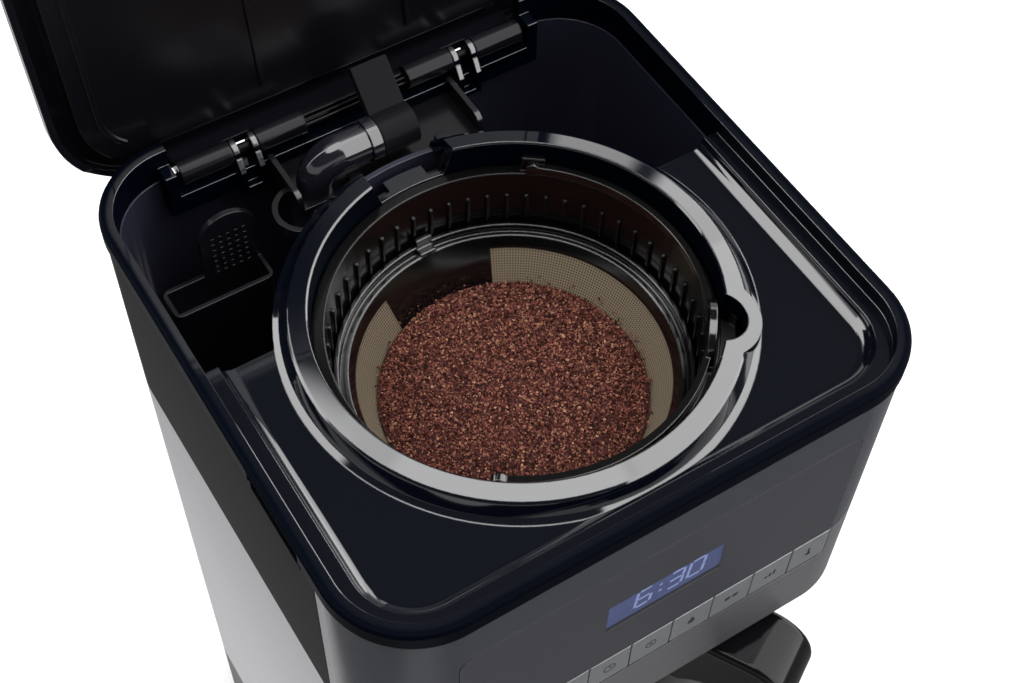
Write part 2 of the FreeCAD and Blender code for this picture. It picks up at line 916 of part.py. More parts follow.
def make_hinge_bracket(side):
    """U-shaped bracket on the hinge beam, open at the back, that holds a hinge pin."""
    half = bracket_width / 2.0
    x = side * bracket_x
    plates = []
    for edge in (-half, half - bracket_plate):
        plate = box(x + edge, x + edge + bracket_plate, bracket_front_y, half_d - frame_inset,
                    hinge_beam_low, hinge_z)
        plate = plate.fuse(rod_x(barrel_r, x + edge, x + edge + bracket_plate, hinge_y, hinge_z))
        slope = polygon_face([Vector(x + edge - 1, bracket_front_y - 1, hinge_beam_top),
                              Vector(x + edge - 1, bracket_front_y - 1, hinge_z + 1),
                              Vector(x + edge - 1, hinge_y - barrel_r, hinge_z + 1)])
        plates.append(plate.cut(slope.extrude(Vector(bracket_plate + 2, 0, 0))))
    web = box(x - half, x + half, bracket_front_y, hinge_beam_y, hinge_beam_low,
              hinge_beam_low + bracket_plate)
    bore = rod_x(hinge_pin_r, x - half - 1, x + half + 1, hinge_y, hinge_z)
    return fused(plates + [web]).cut(bore)


def make_top_frame():
    """Rim, ledge, recessed deck and brew collar in one moulding, with the hinge beam."""
    rim = footprint(0, flange_low, rim_top)
    edges = [e for e in rim.Edges if e.BoundBox.ZMin > rim_top - 0.01]
    rim = rim.makeFillet(rim_edge_radius, edges)
    frame = rim.fuse(footprint(frame_inset, frame_low, flange_low))
    frame = frame.cut(footprint(rim_width, ledge_height, rim_top + 1))
    recess = footprint(ledge_inset, deck_height, rim_top + 1)
    foot = [e for e in recess.Edges if e.BoundBox.ZMax < deck_height + 0.01]
    frame = frame.cut(recess.makeFillet(deck_fillet, foot))
    frame = frame.cut(footprint(rim_width, frame_low - 1, rim_top + 1).common(
        box(-half_w, half_w, tank_front, half_d, frame_low - 2, rim_top + 2)))
    frame = frame.cut(cylinder(collar_flare_r, 0, brew_y, frame_low - 1, rim_top + 1))
    frame = frame.cut(box(-hinge_cut_x, hinge_cut_x, hinge_y - 3 * barrel_r, half_d + 1, hinge_beam_top,
                          rim_top + 1))
    beam = footprint(frame_inset, hinge_beam_low, hinge_beam_top).common(
        box(-hinge_cut_x, hinge_cut_x, hinge_beam_y, half_d, hinge_beam_low, hinge_beam_top))
    posts = []
    for side in (-1, 1):
        edge = side * hinge_cut_x
        inner, outer = sorted((edge - side * 6.0, edge + side * 4.0))
        posts.append(footprint(frame_inset, hinge_beam_low, flange_low).common(
            box(inner, outer, hinge_beam_y, half_d, hinge_beam_low, hinge_beam_top)))
        edge_in, edge_out = sorted((edge, edge + side * 4.0))
        posts.append(footprint(frame_inset, hinge_beam_low, flange_low).common(
            box(edge_in, edge_out, hinge_beam_y, half_d, hinge_beam_low, flange_low)))
    bump = cylinder(finger_bump_r, *polar(finger_bump_center_r, finger_angle)[:2], frame_low, rim_top)
    collar = revolved(collar_profile()).fuse(bump.common(collar_slope()))
    collar = collar.cut(cylinder(collar_inner_r, 0, brew_y, frame_low - 5, rim_top))
    collar = collar.cut(cylinder(finger_r, *polar(finger_center_r, finger_angle)[:2], seat_ledge_z,
                                 rim_top))
    collar = collar.cut(notch_cut())
    saddle_low = notch_floor_z - saddle_thickness
    saddle_r = collar_inner_r + saddle_depth
    saddle = revolved([(collar_inner_r, saddle_low), (saddle_r, saddle_low), (saddle_r, notch_floor_z),
                       (collar_inner_r, notch_floor_z)])
    saddle = saddle.common(box(notch_center_x - saddle_width / 2, notch_center_x + saddle_width / 2, 0,
                               half_d, 0, rim_top))
    brackets = [make_hinge_bracket(-1), make_hinge_bracket(1)]
    frame = fused([frame, collar, beam, saddle] + posts + brackets)
    return frame.cut(grip_cut(-1)).cut(grip_cut(1))


def make_brew_chamber():
    """Cup under the collar that holds the basket and drains to the carafe."""
    inner = chamber_r - chamber_wall
    slope = (chamber_outlet_top - chamber_floor) / (chamber_outlet_r - chamber_r)
    floor_in = chamber_floor + chamber_wall
    outlet_in = chamber_outlet_r - chamber_wall
    lift = slope * (chamber_r - inner)
    profile = [(chamber_r, chamber_floor), (chamber_r, chamber_top), (inner, chamber_top),
               (inner, seat_ledge_z), (seat_ledge_r, seat_ledge_z),
               (seat_ledge_r, seat_ledge_z - seat_ledge_drop),
               (inner, seat_ledge_z - 2 * seat_ledge_drop), (inner, floor_in - lift),
               (outlet_in, chamber_outlet_top + chamber_wall - lift),
               (outlet_in, chamber_outlet_bottom), (chamber_outlet_r, chamber_outlet_bottom),
               (chamber_outlet_r, chamber_outlet_top)]
    chamber = revolved(profile)
    opening = cylinder(finger_r, *polar(finger_center_r, finger_angle)[:2], seat_ledge_z, rim_top)
    bump = cylinder(finger_bump_r + seat_gap, *polar(finger_bump_center_r, finger_angle)[:2],
                    frame_low - seat_gap, rim_top)
    return chamber.cut(opening).cut(bump).cut(notch_cut(saddle_thickness + seat_gap))


def tank_plan(inset, front, radius, low, high):
    """Prism of the tank's plan: the back of the body less the round brew chamber."""
    plan = footprint(inset, low, high).common(box(-half_w, half_w, front, half_d, low, high))
    return plan.cut(cylinder(radius, 0, brew_y, low - 1, high + 1))


def make_water_tank():
    """Open tank round the back of the brew chamber, with its outlet and the riser's sleeve."""
    outer = tank_plan(frame_inset, tank_front - tank_wall, tank_r, tank_bottom, frame_low)
    inner = tank_plan(frame_inset + tank_wall, tank_front, tank_r + tank_wall,
                      tank_bottom + tank_floor, frame_low + 1)
    tank = outer.cut(inner)
    tank = tank.fuse(cylinder(sleeve_r, pipe_riser_x, pipe_y, tank_bottom, bridge_top - bridge_thickness))
    tank = tank.fuse(cylinder(outlet_r + nipple_wall, outlet_x, outlet_y, nipple_bottom,
                              tank_bottom + tank_floor))
    tank = tank.cut(cylinder(sleeve_r - sleeve_wall, pipe_riser_x, pipe_y, tank_bottom - 1, rim_top))
    tank = tank.cut(cylinder(outlet_r, outlet_x, outlet_y, nipple_bottom - 1, tank_bottom + tank_floor + 1))
    beam_room = box(-hinge_cut_x - 4 - seat_gap, hinge_cut_x + 4 + seat_gap, hinge_beam_y - seat_gap,
                    half_d, hinge_beam_low - seat_gap, rim_top)
    return tank.cut(beam_room).removeSplitter()


# Pipe, bridge and pouring arm

def make_elbow_pipe():
    """Hot-water pipe: up through the bridge, round an elbow and along to the swivel."""
    points = [Vector(pipe_riser_x, pipe_y, pipe_bottom_z), Vector(pipe_riser_x, pipe_y, pipe_z),
              Vector(pipe_end_x, pipe_y, pipe_z)]
    path = rounded_path(points, pipe_bend)
    pipe = swept(path, points[0], Z_AXIS, pipe_r)
    pipe = pipe.fuse(rod_x(pipe_r + pipe_collar, pipe_end_x - pipe_collar_length, pipe_end_x, pipe_y,
                           pipe_z))
    pipe = pipe.cut(swept(path, points[0], Z_AXIS, pipe_bore))
    spigot = rod_x(pipe_r, pipe_end_x - 2.0, pipe_end_x, pipe_y, pipe_z)
    spigot = spigot.fuse(rod_x(spigot_r, pipe_end_x - 1.0, pipe_end_x + spigot_length, pipe_y, pipe_z))
    spigot_end = pipe_end_x + spigot_length + 1
    spigot = spigot.cut(rod_x(spigot_bore, pipe_end_x - 3.0, spigot_end, pipe_y, pipe_z))
    return fused([pipe, spigot])


def make_pipe_bridge():
    """Shelf between the brew chamber and the hinge beam that holds the pipe."""
    low = bridge_top - bridge_thickness
    shelf = box(-bridge_half, bridge_half, bridge_front_y, hinge_beam_y, low, bridge_top)
    pieces = [shelf]
    for side in (-1, 1):
        inner, outer = sorted((side * bridge_half, side * (bridge_half - fin_thickness)))
        fin = box(inner, outer, bridge_front_y, hinge_beam_y, low, bridge_top + fin_height)
        corner = [e for e in fin.Edges if e.BoundBox.YMax < bridge_front_y + 0.01
                  and e.BoundBox.ZMin > bridge_top + fin_height - 0.01]
        pieces.append(fin.makeFillet(fin_height * 0.6, corner))
    for x in (hook_left_x, hook_right_x):
        pieces.append(box(x - hook_width / 2, x + hook_width / 2, bridge_front_y, bridge_front_y + 3.0, low,
                          bridge_top + hook_height))
    guide = cylinder(guide_r, -bridge_half + 2, bridge_front_y, low, bridge_top + 2.0)
    guide = guide.cut(cylinder(guide_r - fin_thickness, -bridge_half + 2, bridge_front_y, low - 1, rim_top))
    guide = guide.common(box(-half_w, -bridge_half + 1, 0, hinge_beam_y, low, rim_top))
    pieces.append(guide)
    bridge = fused(pieces)
    bridge = bridge.cut(cylinder(tank_r + tank_wall + moving_gap, 0, brew_y, 0, rim_top))
    bridge = bridge.cut(cylinder(pipe_r + pin_clearance, pipe_riser_x, pipe_y, low - 1, pipe_z))
    swing = rod_x(arm_knuckle_r + moving_gap, pipe_end_x, pipe_end_x + arm_width + 1.2, pipe_y, pipe_z)
    return bridge.cut(swing)


def make_outlet_arm():
    """Pouring arm on the pipe's swivel, drawn lying over the notch and then turned up."""
    x0 = pipe_end_x + moving_gap
    x1 = x0 + arm_width
    end = pipe_y - arm_length
    low = pipe_z - arm_thickness / 2
    knuckle = rod_x(arm_knuckle_r, x0, x1, pipe_y, pipe_z)
    plate = box(x0, x1, end, pipe_y, low, low + arm_thickness)
    arm = fused([knuckle, plate])
    bore = rod_x(spigot_r + pin_clearance, x0 - 1, x1 - 2.0, pipe_y, pipe_z)
    middle = (x0 + x1) / 2.0
    channel = box(middle - arm_channel / 2, middle + arm_channel / 2, end - 1, pipe_y, low + arm_skin,
                  low + arm_thickness - arm_skin)
    arm = arm.cut(bore).cut(channel)
    arm.rotate(Vector(0, pipe_y, pipe_z), X_AXIS, -arm_swing)
    return arm


# Lid, drawn closed and then opened about the hinge

def opened(shape):
    """Turn a lid piece from closed to its open rest position."""
    shape.rotate(Vector(0, hinge_y, hinge_z), X_AXIS, -lid_open_angle)
    return shape


def lid_block(inset, low, high):
    """Prism of the lid's plan, drawn in by inset."""
    wire = rounded_outline(half_w - inset, half_d - inset, lid_corner_radius - inset, low)
    return Part.Face(wire).extrude(Vector(0, 0, high - low))


def barrel_spans():
    """Stretches of hinge barrel along X, on both sides of each bracket."""
    gap = bracket_width / 2.0 + moving_gap
    spans = []
    for side in (-1, 1):
        for near, far in ((barrel_inner_x, bracket_x - gap), (bracket_x + gap, barrel_outer_x)):
            spans.append(tuple(sorted((side * near, side * far))))
    return spans


def lid_web(x0, x1, low):
    """Plate that carries the hinge barrels, from a height up to the lid's top."""
    half = web_thickness / 2.0
    return box(x0, x1, hinge_y - half, hinge_y + half, low, lid_top - lid_wall + 0.5)


def swing_relief(shape):
    """Clear a lid piece of the rim behind the hinge, which it passes as it opens."""
    swing = math.hypot(half_d - hinge_y, rim_top - hinge_z) + swing_clearance
    for side in (-1, 1):
        near, far = sorted((side * (barrel_outer_x + moving_gap), side * half_w))
        shape = shape.cut(rod_x(swing, near, far, hinge_y, hinge_z))
    return shape


def make_lid_shell():
    """Lid cap with a round top edge, a lip below, and the hinge barrels on webs."""
    cap = lid_block(0, lid_low, lid_top)
    edges = [e for e in cap.Edges if e.BoundBox.ZMin > lid_top - 0.01]
    cap = cap.makeFillet(lid_edge_radius, edges)
    cap = cap.cut(lid_block(lid_wall, lid_low - 1, lid_top - lid_wall))
    pieces = [cap]
    for x0, x1 in barrel_spans():
        pieces.append(rod_x(barrel_r, x0, x1, hinge_y, hinge_z))
        pieces.append(lid_web(x0, x1, hinge_z))
    pieces.append(lid_web(-barrel_inner_x, barrel_inner_x, hinge_z - hinge_pin_r))
    pieces.append(lid_web(-barrel_outer_x, barrel_outer_x, hinge_z + barrel_r + 2 * moving_gap))
    lid = fused(pieces)
    lid = lid.cut(rod_x(hinge_pin_r + pin_clearance, -half_w, half_w, hinge_y, hinge_z))
    return opened(swing_relief(lid))


def make_lid_liner():
    """Inner panel of the lid: a shallow tray with a raised border line and two stiffeners."""
    top = lid_top - lid_wall
    front_half = lid_block(liner_inset, liner_low, top)
    room = box(-half_w, half_w, -half_d, liner_back_y, liner_low - 2, top + 1)
    liner = front_half.common(room)
    hollow = lid_block(liner_inset + liner_wall, liner_low + liner_wall, top + 1).common(
        box(-half_w, half_w, -half_d, liner_back_y - liner_wall, liner_low, top + 1))
    liner = liner.cut(hollow)
    border = lid_block(liner_inset + 6, liner_low - liner_rib, liner_low).cut(
        lid_block(liner_inset + 6 + liner_rib_width, liner_low - 1, liner_low + 1))
    border = border.common(box(-half_w, half_w, -half_d, liner_back_y - 6, liner_low - 1, top))
    pieces = [liner, border]
    for x in (-liner_rib_x, liner_rib_x):
        pieces.append(box(x - liner_rib_width / 2, x + liner_rib_width / 2, spray_r + 8, liner_back_y - 6,
                          liner_low - liner_rib, liner_low))
    return opened(swing_relief(fused(pieces)))


def make_spray_plate():
    """Perforated spreader under the lid, over the middle of the basket."""
    plate = revolved([(0, liner_low - spray_height), (spray_r - 2, liner_low - spray_height),
                      (spray_r, liner_low - spray_height + 2), (spray_r, liner_low),
                      (spray_r - 2, liner_low),
                      (spray_r - 2, liner_low - spray_height + 1.6), (0, liner_low - spray_height + 1.6)])
    for count, radius in ((spray_holes, spray_hole_ring), (spray_holes // 2, spray_hole_ring / 2)):
        for index in range(count):
            place = polar(radius, 360.0 * index / count)
            plate = plate.cut(cylinder(spray_hole_r, place.x, place.y, 0, lid_top))
    return opened(plate)


def make_hinge_pins():
    """One steel pin through each bracket and the barrels beside it."""
    reach = bracket_width / 2.0 + 9.0
    pins = []
    for side in (-1, 1):
        x = side * bracket_x
        pins.append(rod_x(hinge_pin_r, x - reach, x + reach, hinge_y, hinge_z))
    return Part.makeCompound(pins)


# Brew basket, bail, valve and filter

def make_brew_basket():
    """Round basket with ribs inside, a funnel floor, the valve spout and two bail ears."""
    inner = basket_wall_r - basket_wall
    floor = basket_floor - basket_wall
    drop = basket_wall * 1.2
    profile = [(basket_wall_r, floor), (basket_wall_r, basket_rim_z - 2.3),
               (basket_rim_r, basket_rim_z - 2.3), (basket_rim_r, basket_rim_z), (inner, basket_rim_z),
               (inner, basket_floor), (basket_cone_r, basket_cone_z), (valve_hole_r, basket_cone_z),
               (valve_hole_r, basket_spout_bottom), (basket_spout_r, basket_spout_bottom),
               (basket_spout_r, basket_cone_z - drop), (basket_cone_r, basket_cone_z - drop)]
    pieces = [revolved(profile)]
    for index in range(basket_ribs):
        rib = box(inner - rib_depth, inner + basket_wall / 2, brew_y - rib_width / 2,
                  brew_y + rib_width / 2, rib_low_z, rib_high_z)
        pieces.append(about_brew(rib, 360.0 * (index + 0.5) / basket_ribs))
    rest_top = filter_bottom_z - filter_wall - seat_gap
    for index in range(filter_rests):
        fin = polygon_face([Vector(basket_cone_r + 1, 0, basket_cone_z - 0.5),
                            Vector(inner + 0.2, 0, basket_floor - 0.5), Vector(inner + 0.2, 0, rest_top),
                            Vector(basket_cone_r + 1, 0, rest_top)])
        fin = fin.extrude(Vector(0, rest_thickness, 0))
        fin.translate(Vector(0, brew_y - rest_thickness / 2, 0))
        pieces.append(about_brew(fin, bail_angle + 360.0 * index / filter_rests + 45.0))
    for turn in (90.0, -90.0):
        ear = box(bail_outer_r + moving_gap, bail_outer_r + moving_gap + ear_radial, brew_y - ear_width / 2,
                  brew_y + ear_width / 2, basket_rim_z - 1.0, basket_rim_z + ear_height)
        pieces.append(about_brew(ear, bail_angle + turn))
    basket = fused(pieces)
    bore = Part.makeCylinder(bail_pin_r + pin_clearance, 2 * half_w, Vector(-half_w, brew_y, bail_axis_z()),
                             X_AXIS)
    return basket.cut(about_brew(bore, bail_angle + 90.0))


def bail_axis_z():
    """Height of the bail's pivot."""
    return basket_rim_z + moving_gap + bail_knuckle_r


def make_bail_handle():
    """Half-round bail folded along the rim, with a finger loop at its middle."""
    z = bail_axis_z()
    low = z - bail_height / 2.0
    high = z + bail_height / 2.0
    bail = revolved([(bail_inner_r, low), (bail_outer_r, low), (bail_outer_r, high), (bail_inner_r, high)],
                    brew, 180.0, bail_angle - 90.0)
    pieces = [bail]
    for turn in (90.0, -90.0):
        knuckle = rod_x(bail_knuckle_r, bail_inner_r, bail_outer_r, brew_y, z)
        pieces.append(about_brew(knuckle, bail_angle + turn))
        pin = rod_x(bail_pin_r, bail_inner_r + 1, bail_outer_r + moving_gap + ear_radial, brew_y, z)
        pieces.append(about_brew(pin, bail_angle + turn))
    inner = bail_outer_r - tab_thickness
    half = tab_width / 2.0
    crown = tab_top - half
    arch = rod_x(half, inner, bail_outer_r, brew_y, crown)
    arch = arch.fuse(box(inner, bail_outer_r, brew_y - half, brew_y + half, low, max(crown, low + 0.1)))
    arch = arch.cut(rod_x(half - tab_ring, inner - 1, bail_outer_r + 1, brew_y, crown))
    arch = arch.common(box(inner - 1, bail_outer_r + 1, brew_y - half, brew_y + half, low, tab_top + 1))
    pieces.append(about_brew(arch, bail_angle))
    return fused(pieces)


def make_valve_plunger():
    """Drip-stop plunger: a disc on the basket's floor and a stem that the carafe pushes up."""
    top = plunger_disc_z + plunger_disc_height
    tip = plunger_stem_r - 1.0
    return revolved([(0, plunger_tip_z), (tip, plunger_tip_z), (plunger_stem_r, plunger_tip_z + 1.0),
                     (plunger_stem_r, plunger_disc_z), (plunger_disc_r, plunger_disc_z),
                     (plunger_disc_r, top), (0, top)])


def make_valve_cap():
    """Three-legged cap on the basket's floor that holds the valve spring down."""
    top = spring_top_z + valve_cap_height
    foot = basket_cone_z + seat_gap
    outer = valve_leg_r + valve_leg_wall
    cap = revolved([(0, spring_top_z), (valve_leg_r, spring_top_z), (valve_leg_r, foot), (outer, foot),
                    (outer, top), (0, top)])
    for turn in (0.0, 120.0, 240.0):
        gate = box(0, 2 * outer, brew_y - 7.0, brew_y + 7.0, foot - 1, spring_top_z - 1.5)
        cap = cap.cut(about_brew(gate, turn))
    return cap


def make_valve_spring():
    """Compression spring above the plunger: one wire in quarter-turn arcs."""
    rise = spring_length - spring_wire - 2 * seat_gap
    quarters = spring_turns * 4
    base = spring_bottom_z + seat_gap + spring_wire / 2

    def point(quarter):
        turn = quarter * math.pi / 2.0
        return Vector(spring_mean_r * math.cos(turn), brew_y + spring_mean_r * math.sin(turn),
                      base + rise * quarter / quarters)

    edges = []
    for index in range(quarters):
        edges.append(Part.Arc(point(index), point(index + 0.5), point(index + 1)).toShape())
    path = Part.Wire(edges)
    section = Part.Wire(Part.makeCircle(spring_wire / 2, point(0), Vector(0, 1, 0)))
    print("valve spring least self-gap", round(rise / spring_turns - spring_wire, 2))
    return path.makePipeShell([section], True, False)


def filter_radius(z):
    """Inner radius of the filter's cone at a height."""
    share = (z - filter_bottom_z) / (filter_inner_z - filter_bottom_z)
    return filter_bottom_r + share * (filter_inner_r - filter_bottom_r)


def make_filter_frame():
    """Filter frame: a double rim, a conical wall with windows, a solid floor and a tab."""
    wall = filter_wall
    profile = [(0, filter_bottom_z - wall), (filter_bottom_r + wall, filter_bottom_z - wall),
               (filter_inner_r + wall, filter_inner_z - filter_groove),
               (filter_rim_r, filter_inner_z - filter_groove), (filter_rim_r, filter_rim_z),
               (filter_rim_r - 1.6, filter_rim_z),
               (filter_rim_r - 1.6, filter_inner_z - filter_groove + 1.2),
               (filter_inner_r + 1.6, filter_inner_z - filter_groove + 1.2),
               (filter_inner_r + 1.6, filter_inner_z), (filter_inner_r, filter_inner_z),
               (filter_bottom_r, filter_bottom_z), (0, filter_bottom_z)]
    frame = revolved(profile)
    for index in range(filter_windows):
        frame = frame.cut(window_sector(index))
    tab = box(filter_inner_r, filter_rim_r, brew_y - filter_tab_width / 2, brew_y + filter_tab_width / 2,
              filter_inner_z - filter_groove, filter_rim_z + filter_tab_height)
    tab = tab.cut(box(filter_inner_r - 1, filter_rim_r - 1.6, brew_y - filter_tab_width,
                      brew_y + filter_tab_width, filter_rim_z - 1, rim_top))
    return frame.fuse(about_brew(tab, filter_tab_angle)).removeSplitter()


def window_sector(index):
    """Ring sector that one window takes out of the conical wall, counted from the solid sector."""
    ribs = (filter_windows - 1) * window_rib_angle
    span = (360.0 - solid_angle - ribs) / filter_windows
    start = filter_tab_angle + solid_angle / 2.0 + index * (span + window_rib_angle)
    reach = filter_rim_r + 5
    return revolved([(1, window_bottom_z), (reach, window_bottom_z), (reach, window_top_z), (1, window_top_z)],
                    brew, span, start)


def make_filter_mesh():
    """Fine metal mesh in the frame's windows, as thin conical sheets."""
    middle = filter_wall / 2.0
    low = middle - mesh_thickness / 2
    high = middle + mesh_thickness / 2
    cone = revolved([(filter_bottom_r + low, filter_bottom_z), (filter_bottom_r + high, filter_bottom_z),
                     (filter_inner_r + high, filter_inner_z), (filter_inner_r + low, filter_inner_z)])
    sheets = []
    for index in range(filter_windows):
        sheets.append(cone.common(window_sector(index)))
    return Part.makeCompound([solid for sheet in sheets for solid in sheet.Solids])


def make_coffee_grounds():
    """Heap of ground coffee in the filter, with a round crown."""
    gap = grounds_gap
    low = filter_bottom_z + gap
    edge = filter_radius(grounds_edge_z) - gap
    profile = [(0, low), (filter_bottom_r - gap, low)]
    steps = 8
    for index in range(steps + 1):
        radius = edge * (1.0 - index / steps)
        profile.append((radius, grounds_edge_z + grounds_heap * (1.0 - (radius / edge) ** 2)))
    return revolved(profile)


# Water filter holder

def make_filter_holder():
    """Slim box that stands in the tank, with a slotted tongue to lift it by."""
    back = holder_front + holder_depth
    low = tank_bottom + tank_floor + moving_gap
    shell = box(holder_left, holder_right, holder_front, back, low, holder_top)
    upright = [e for e in shell.Edges if abs(e.BoundBox.ZLength - (holder_top - low)) < 0.01]
    shell = shell.makeFillet(3.0, upright)
    shell = shell.cut(box(holder_left + holder_wall, holder_right - holder_wall, holder_front + holder_wall,
                          back - holder_wall, low + holder_wall, holder_top + 1))
    half = tongue_width / 2.0
    middle = holder_right - half
    crown = tongue_top - half
    tongue = box(holder_right - tongue_width, holder_right, back - tongue_thickness, back, holder_top - 20,
                 crown)
    tongue = tongue.fuse(Part.makeCylinder(half, tongue_thickness, Vector(middle, back - tongue_thickness,
                                                                           crown), Y_AXIS))
    holder = fused([shell, tongue])
    for row in range(slot_rows):
        for column in range(slot_columns):
            x = middle + (column - (slot_columns - 1) / 2.0) * slot_pitch
            z = crown + 2.0 - row * slot_pitch
            holder = holder.cut(box(x - slot_size / 2, x + slot_size / 2, back - tongue_thickness - 1,
                                    back + 1, z - slot_size / 2, z + slot_size / 2))
    drain = box(holder_left + 6, holder_right - 6, holder_front - 1, back + 1, low + 6, low + 10)
    return holder.cut(drain)


def make_filter_cartridge():
    """Charcoal cartridge inside the holder."""
    gap = moving_gap
    low = tank_bottom + tank_floor + moving_gap + holder_wall
    block = box(holder_left + holder_wall + gap, holder_right - holder_wall - gap,
                holder_front + holder_wall + gap, holder_front + holder_depth - holder_wall - gap, low,
                low + cartridge_height)
    upright = [e for e in block.Edges if abs(e.BoundBox.ZLength - cartridge_height) < 0.01]
    return block.makeFillet(2.0, upright)


# Carafe

def carafe_wall(offset):
    """Side of the carafe from the bottom to the mouth, drawn in by offset."""
    foot = Vector(carafe_bottom_r - offset, 0, carafe_low() + offset)
    belly = Vector(carafe_belly_r - offset, 0, carafe_belly_z)
    neck = Vector(carafe_neck_r - offset, 0, carafe_neck_z)
    lower = Vector(carafe_belly_r - offset - 2.2, 0, (carafe_low() + carafe_belly_z) / 2 + 1)
    upper = Vector((carafe_belly_r + carafe_neck_r) / 2 - offset + 3.6, 0,
                   (carafe_belly_z + carafe_neck_z) / 2)
    mouth = Vector(carafe_neck_r - offset, 0, carafe_top)
    return [Part.Arc(foot, lower, belly).toShape(), Part.Arc(belly, upper, neck).toShape(),
            Part.LineSegment(neck, mouth).toShape()]


def carafe_low():
    """Underside of the carafe on the warming plate."""
    return plate_height + seat_gap


def make_carafe_glass():
    """Blown glass jug: one wall thickness, a round belly and a short neck."""
    outer = carafe_wall(0)
    inner = carafe_wall(glass_thickness)
    outer_foot = Vector(carafe_bottom_r, 0, carafe_low())
    inner_foot = Vector(carafe_bottom_r - glass_thickness, 0, carafe_low() + glass_thickness)
    rim = Part.LineSegment(Vector(carafe_neck_r, 0, carafe_top),
                           Vector(carafe_neck_r - glass_thickness, 0, carafe_top)).toShape()
    axis_low = Vector(0, 0, carafe_low())
    axis_high = Vector(0, 0, carafe_low() + glass_thickness)
    bottom = [Part.LineSegment(inner_foot, axis_high).toShape(),
              Part.LineSegment(axis_high, axis_low).toShape(),
              Part.LineSegment(axis_low, outer_foot).toShape()]
    wire = Part.Wire(Part.__sortEdges__(outer + [rim] + inner + bottom))
    glass = Part.Face(wire).revolve(Vector(0, 0, 0), Z_AXIS, 360)
    glass.translate(brew)
    return glass


def make_carafe_band():
    """Band round the carafe's neck that carries the handle."""
    inner = carafe_neck_r + seat_gap
    outer = inner + band_thickness
    low = carafe_top - band_height
    return revolved([(inner, low), (outer, low), (outer, carafe_top), (inner, carafe_top)])


def make_carafe_handle():
    """D-shaped handle: a broad top arm, a grip that runs down, and the lid's hinge lugs."""
    root = carafe_neck_r + seat_gap + band_thickness
    half = handle_width / 2.0
    arm_low = carafe_top - band_height
    outer = [Vector(root, 0, arm_low), Vector(root, 0, carafe_top + 4),
             Vector(root + 14, 0, handle_top_z), Vector(handle_reach - 18, 0, handle_top_z)]
    grip = handle_reach
    corner = Part.Arc(Vector(grip - 18, 0, handle_top_z), Vector(grip - 4.5, 0, handle_top_z - 6.0),
                      Vector(grip, 0, handle_top_z - 22)).toShape()
    low_grip = Vector(grip - 10, 0, handle_low_z)
    low_inner = Vector(grip - 10 - handle_thickness, 0, handle_low_z + 3)
    high_inner = Vector(grip - handle_thickness, 0, handle_top_z - handle_bend)
    inner_corner = Part.Arc(high_inner, Vector(grip - handle_thickness - 6, 0, arm_low + 4),
                            Vector(handle_root_r + 18, 0, arm_low)).toShape()
    edges = [Part.LineSegment(outer[0], outer[1]).toShape(), Part.LineSegment(outer[1], outer[2]).toShape(),
             Part.LineSegment(outer[2], outer[3]).toShape(), corner,
             Part.LineSegment(Vector(grip, 0, handle_top_z - 22), low_grip).toShape(),
             Part.LineSegment(low_grip, low_inner).toShape(),
             Part.LineSegment(low_inner, high_inner).toShape(), inner_corner,
             Part.LineSegment(Vector(handle_root_r + 18, 0, arm_low), outer[0]).toShape()]
    handle = Part.Face(Part.Wire(Part.__sortEdges__(edges))).extrude(Vector(0, handle_width, 0))
    handle.translate(Vector(0, -half, 0))
    long_edges = [e for e in handle.Edges if abs(e.BoundBox.YLength) < 0.01
                  and e.BoundBox.XMax > handle_root_r + 20 and e.BoundBox.ZMin > handle_low_z + 1]
    handle = handle.makeFillet(3.0, long_edges)
    saddle = Part.makeCylinder(root, carafe_top + 20, Vector(0, 0, 0))
    room = box(0, lid_pivot_r + lug_r + moving_gap, -half + 4, half - 4, carafe_top - 1, handle_top_z + 5)
    handle = handle.cut(saddle).cut(room)
    pin = Part.makeCylinder(carafe_pin_r + pin_clearance, handle_width - 4, Vector(lid_pivot_r, -half + 2,
                                                                                lid_pivot_z), Y_AXIS)
    for side in (-1, 1):
        near, far = sorted((side * half, side * (half - 4)))
        lug = Part.makeCylinder(lug_r, far - near, Vector(lid_pivot_r, near, lid_pivot_z), Y_AXIS)
        stay = box(lid_pivot_r - lug_r, lid_pivot_r + lug_r + 4, near, far, carafe_top, lid_pivot_z)
        handle = handle.fuse(lug).fuse(stay)
    handle = handle.cut(pin).removeSplitter()
    handle.translate(brew)
    return about_brew(handle, handle_angle)


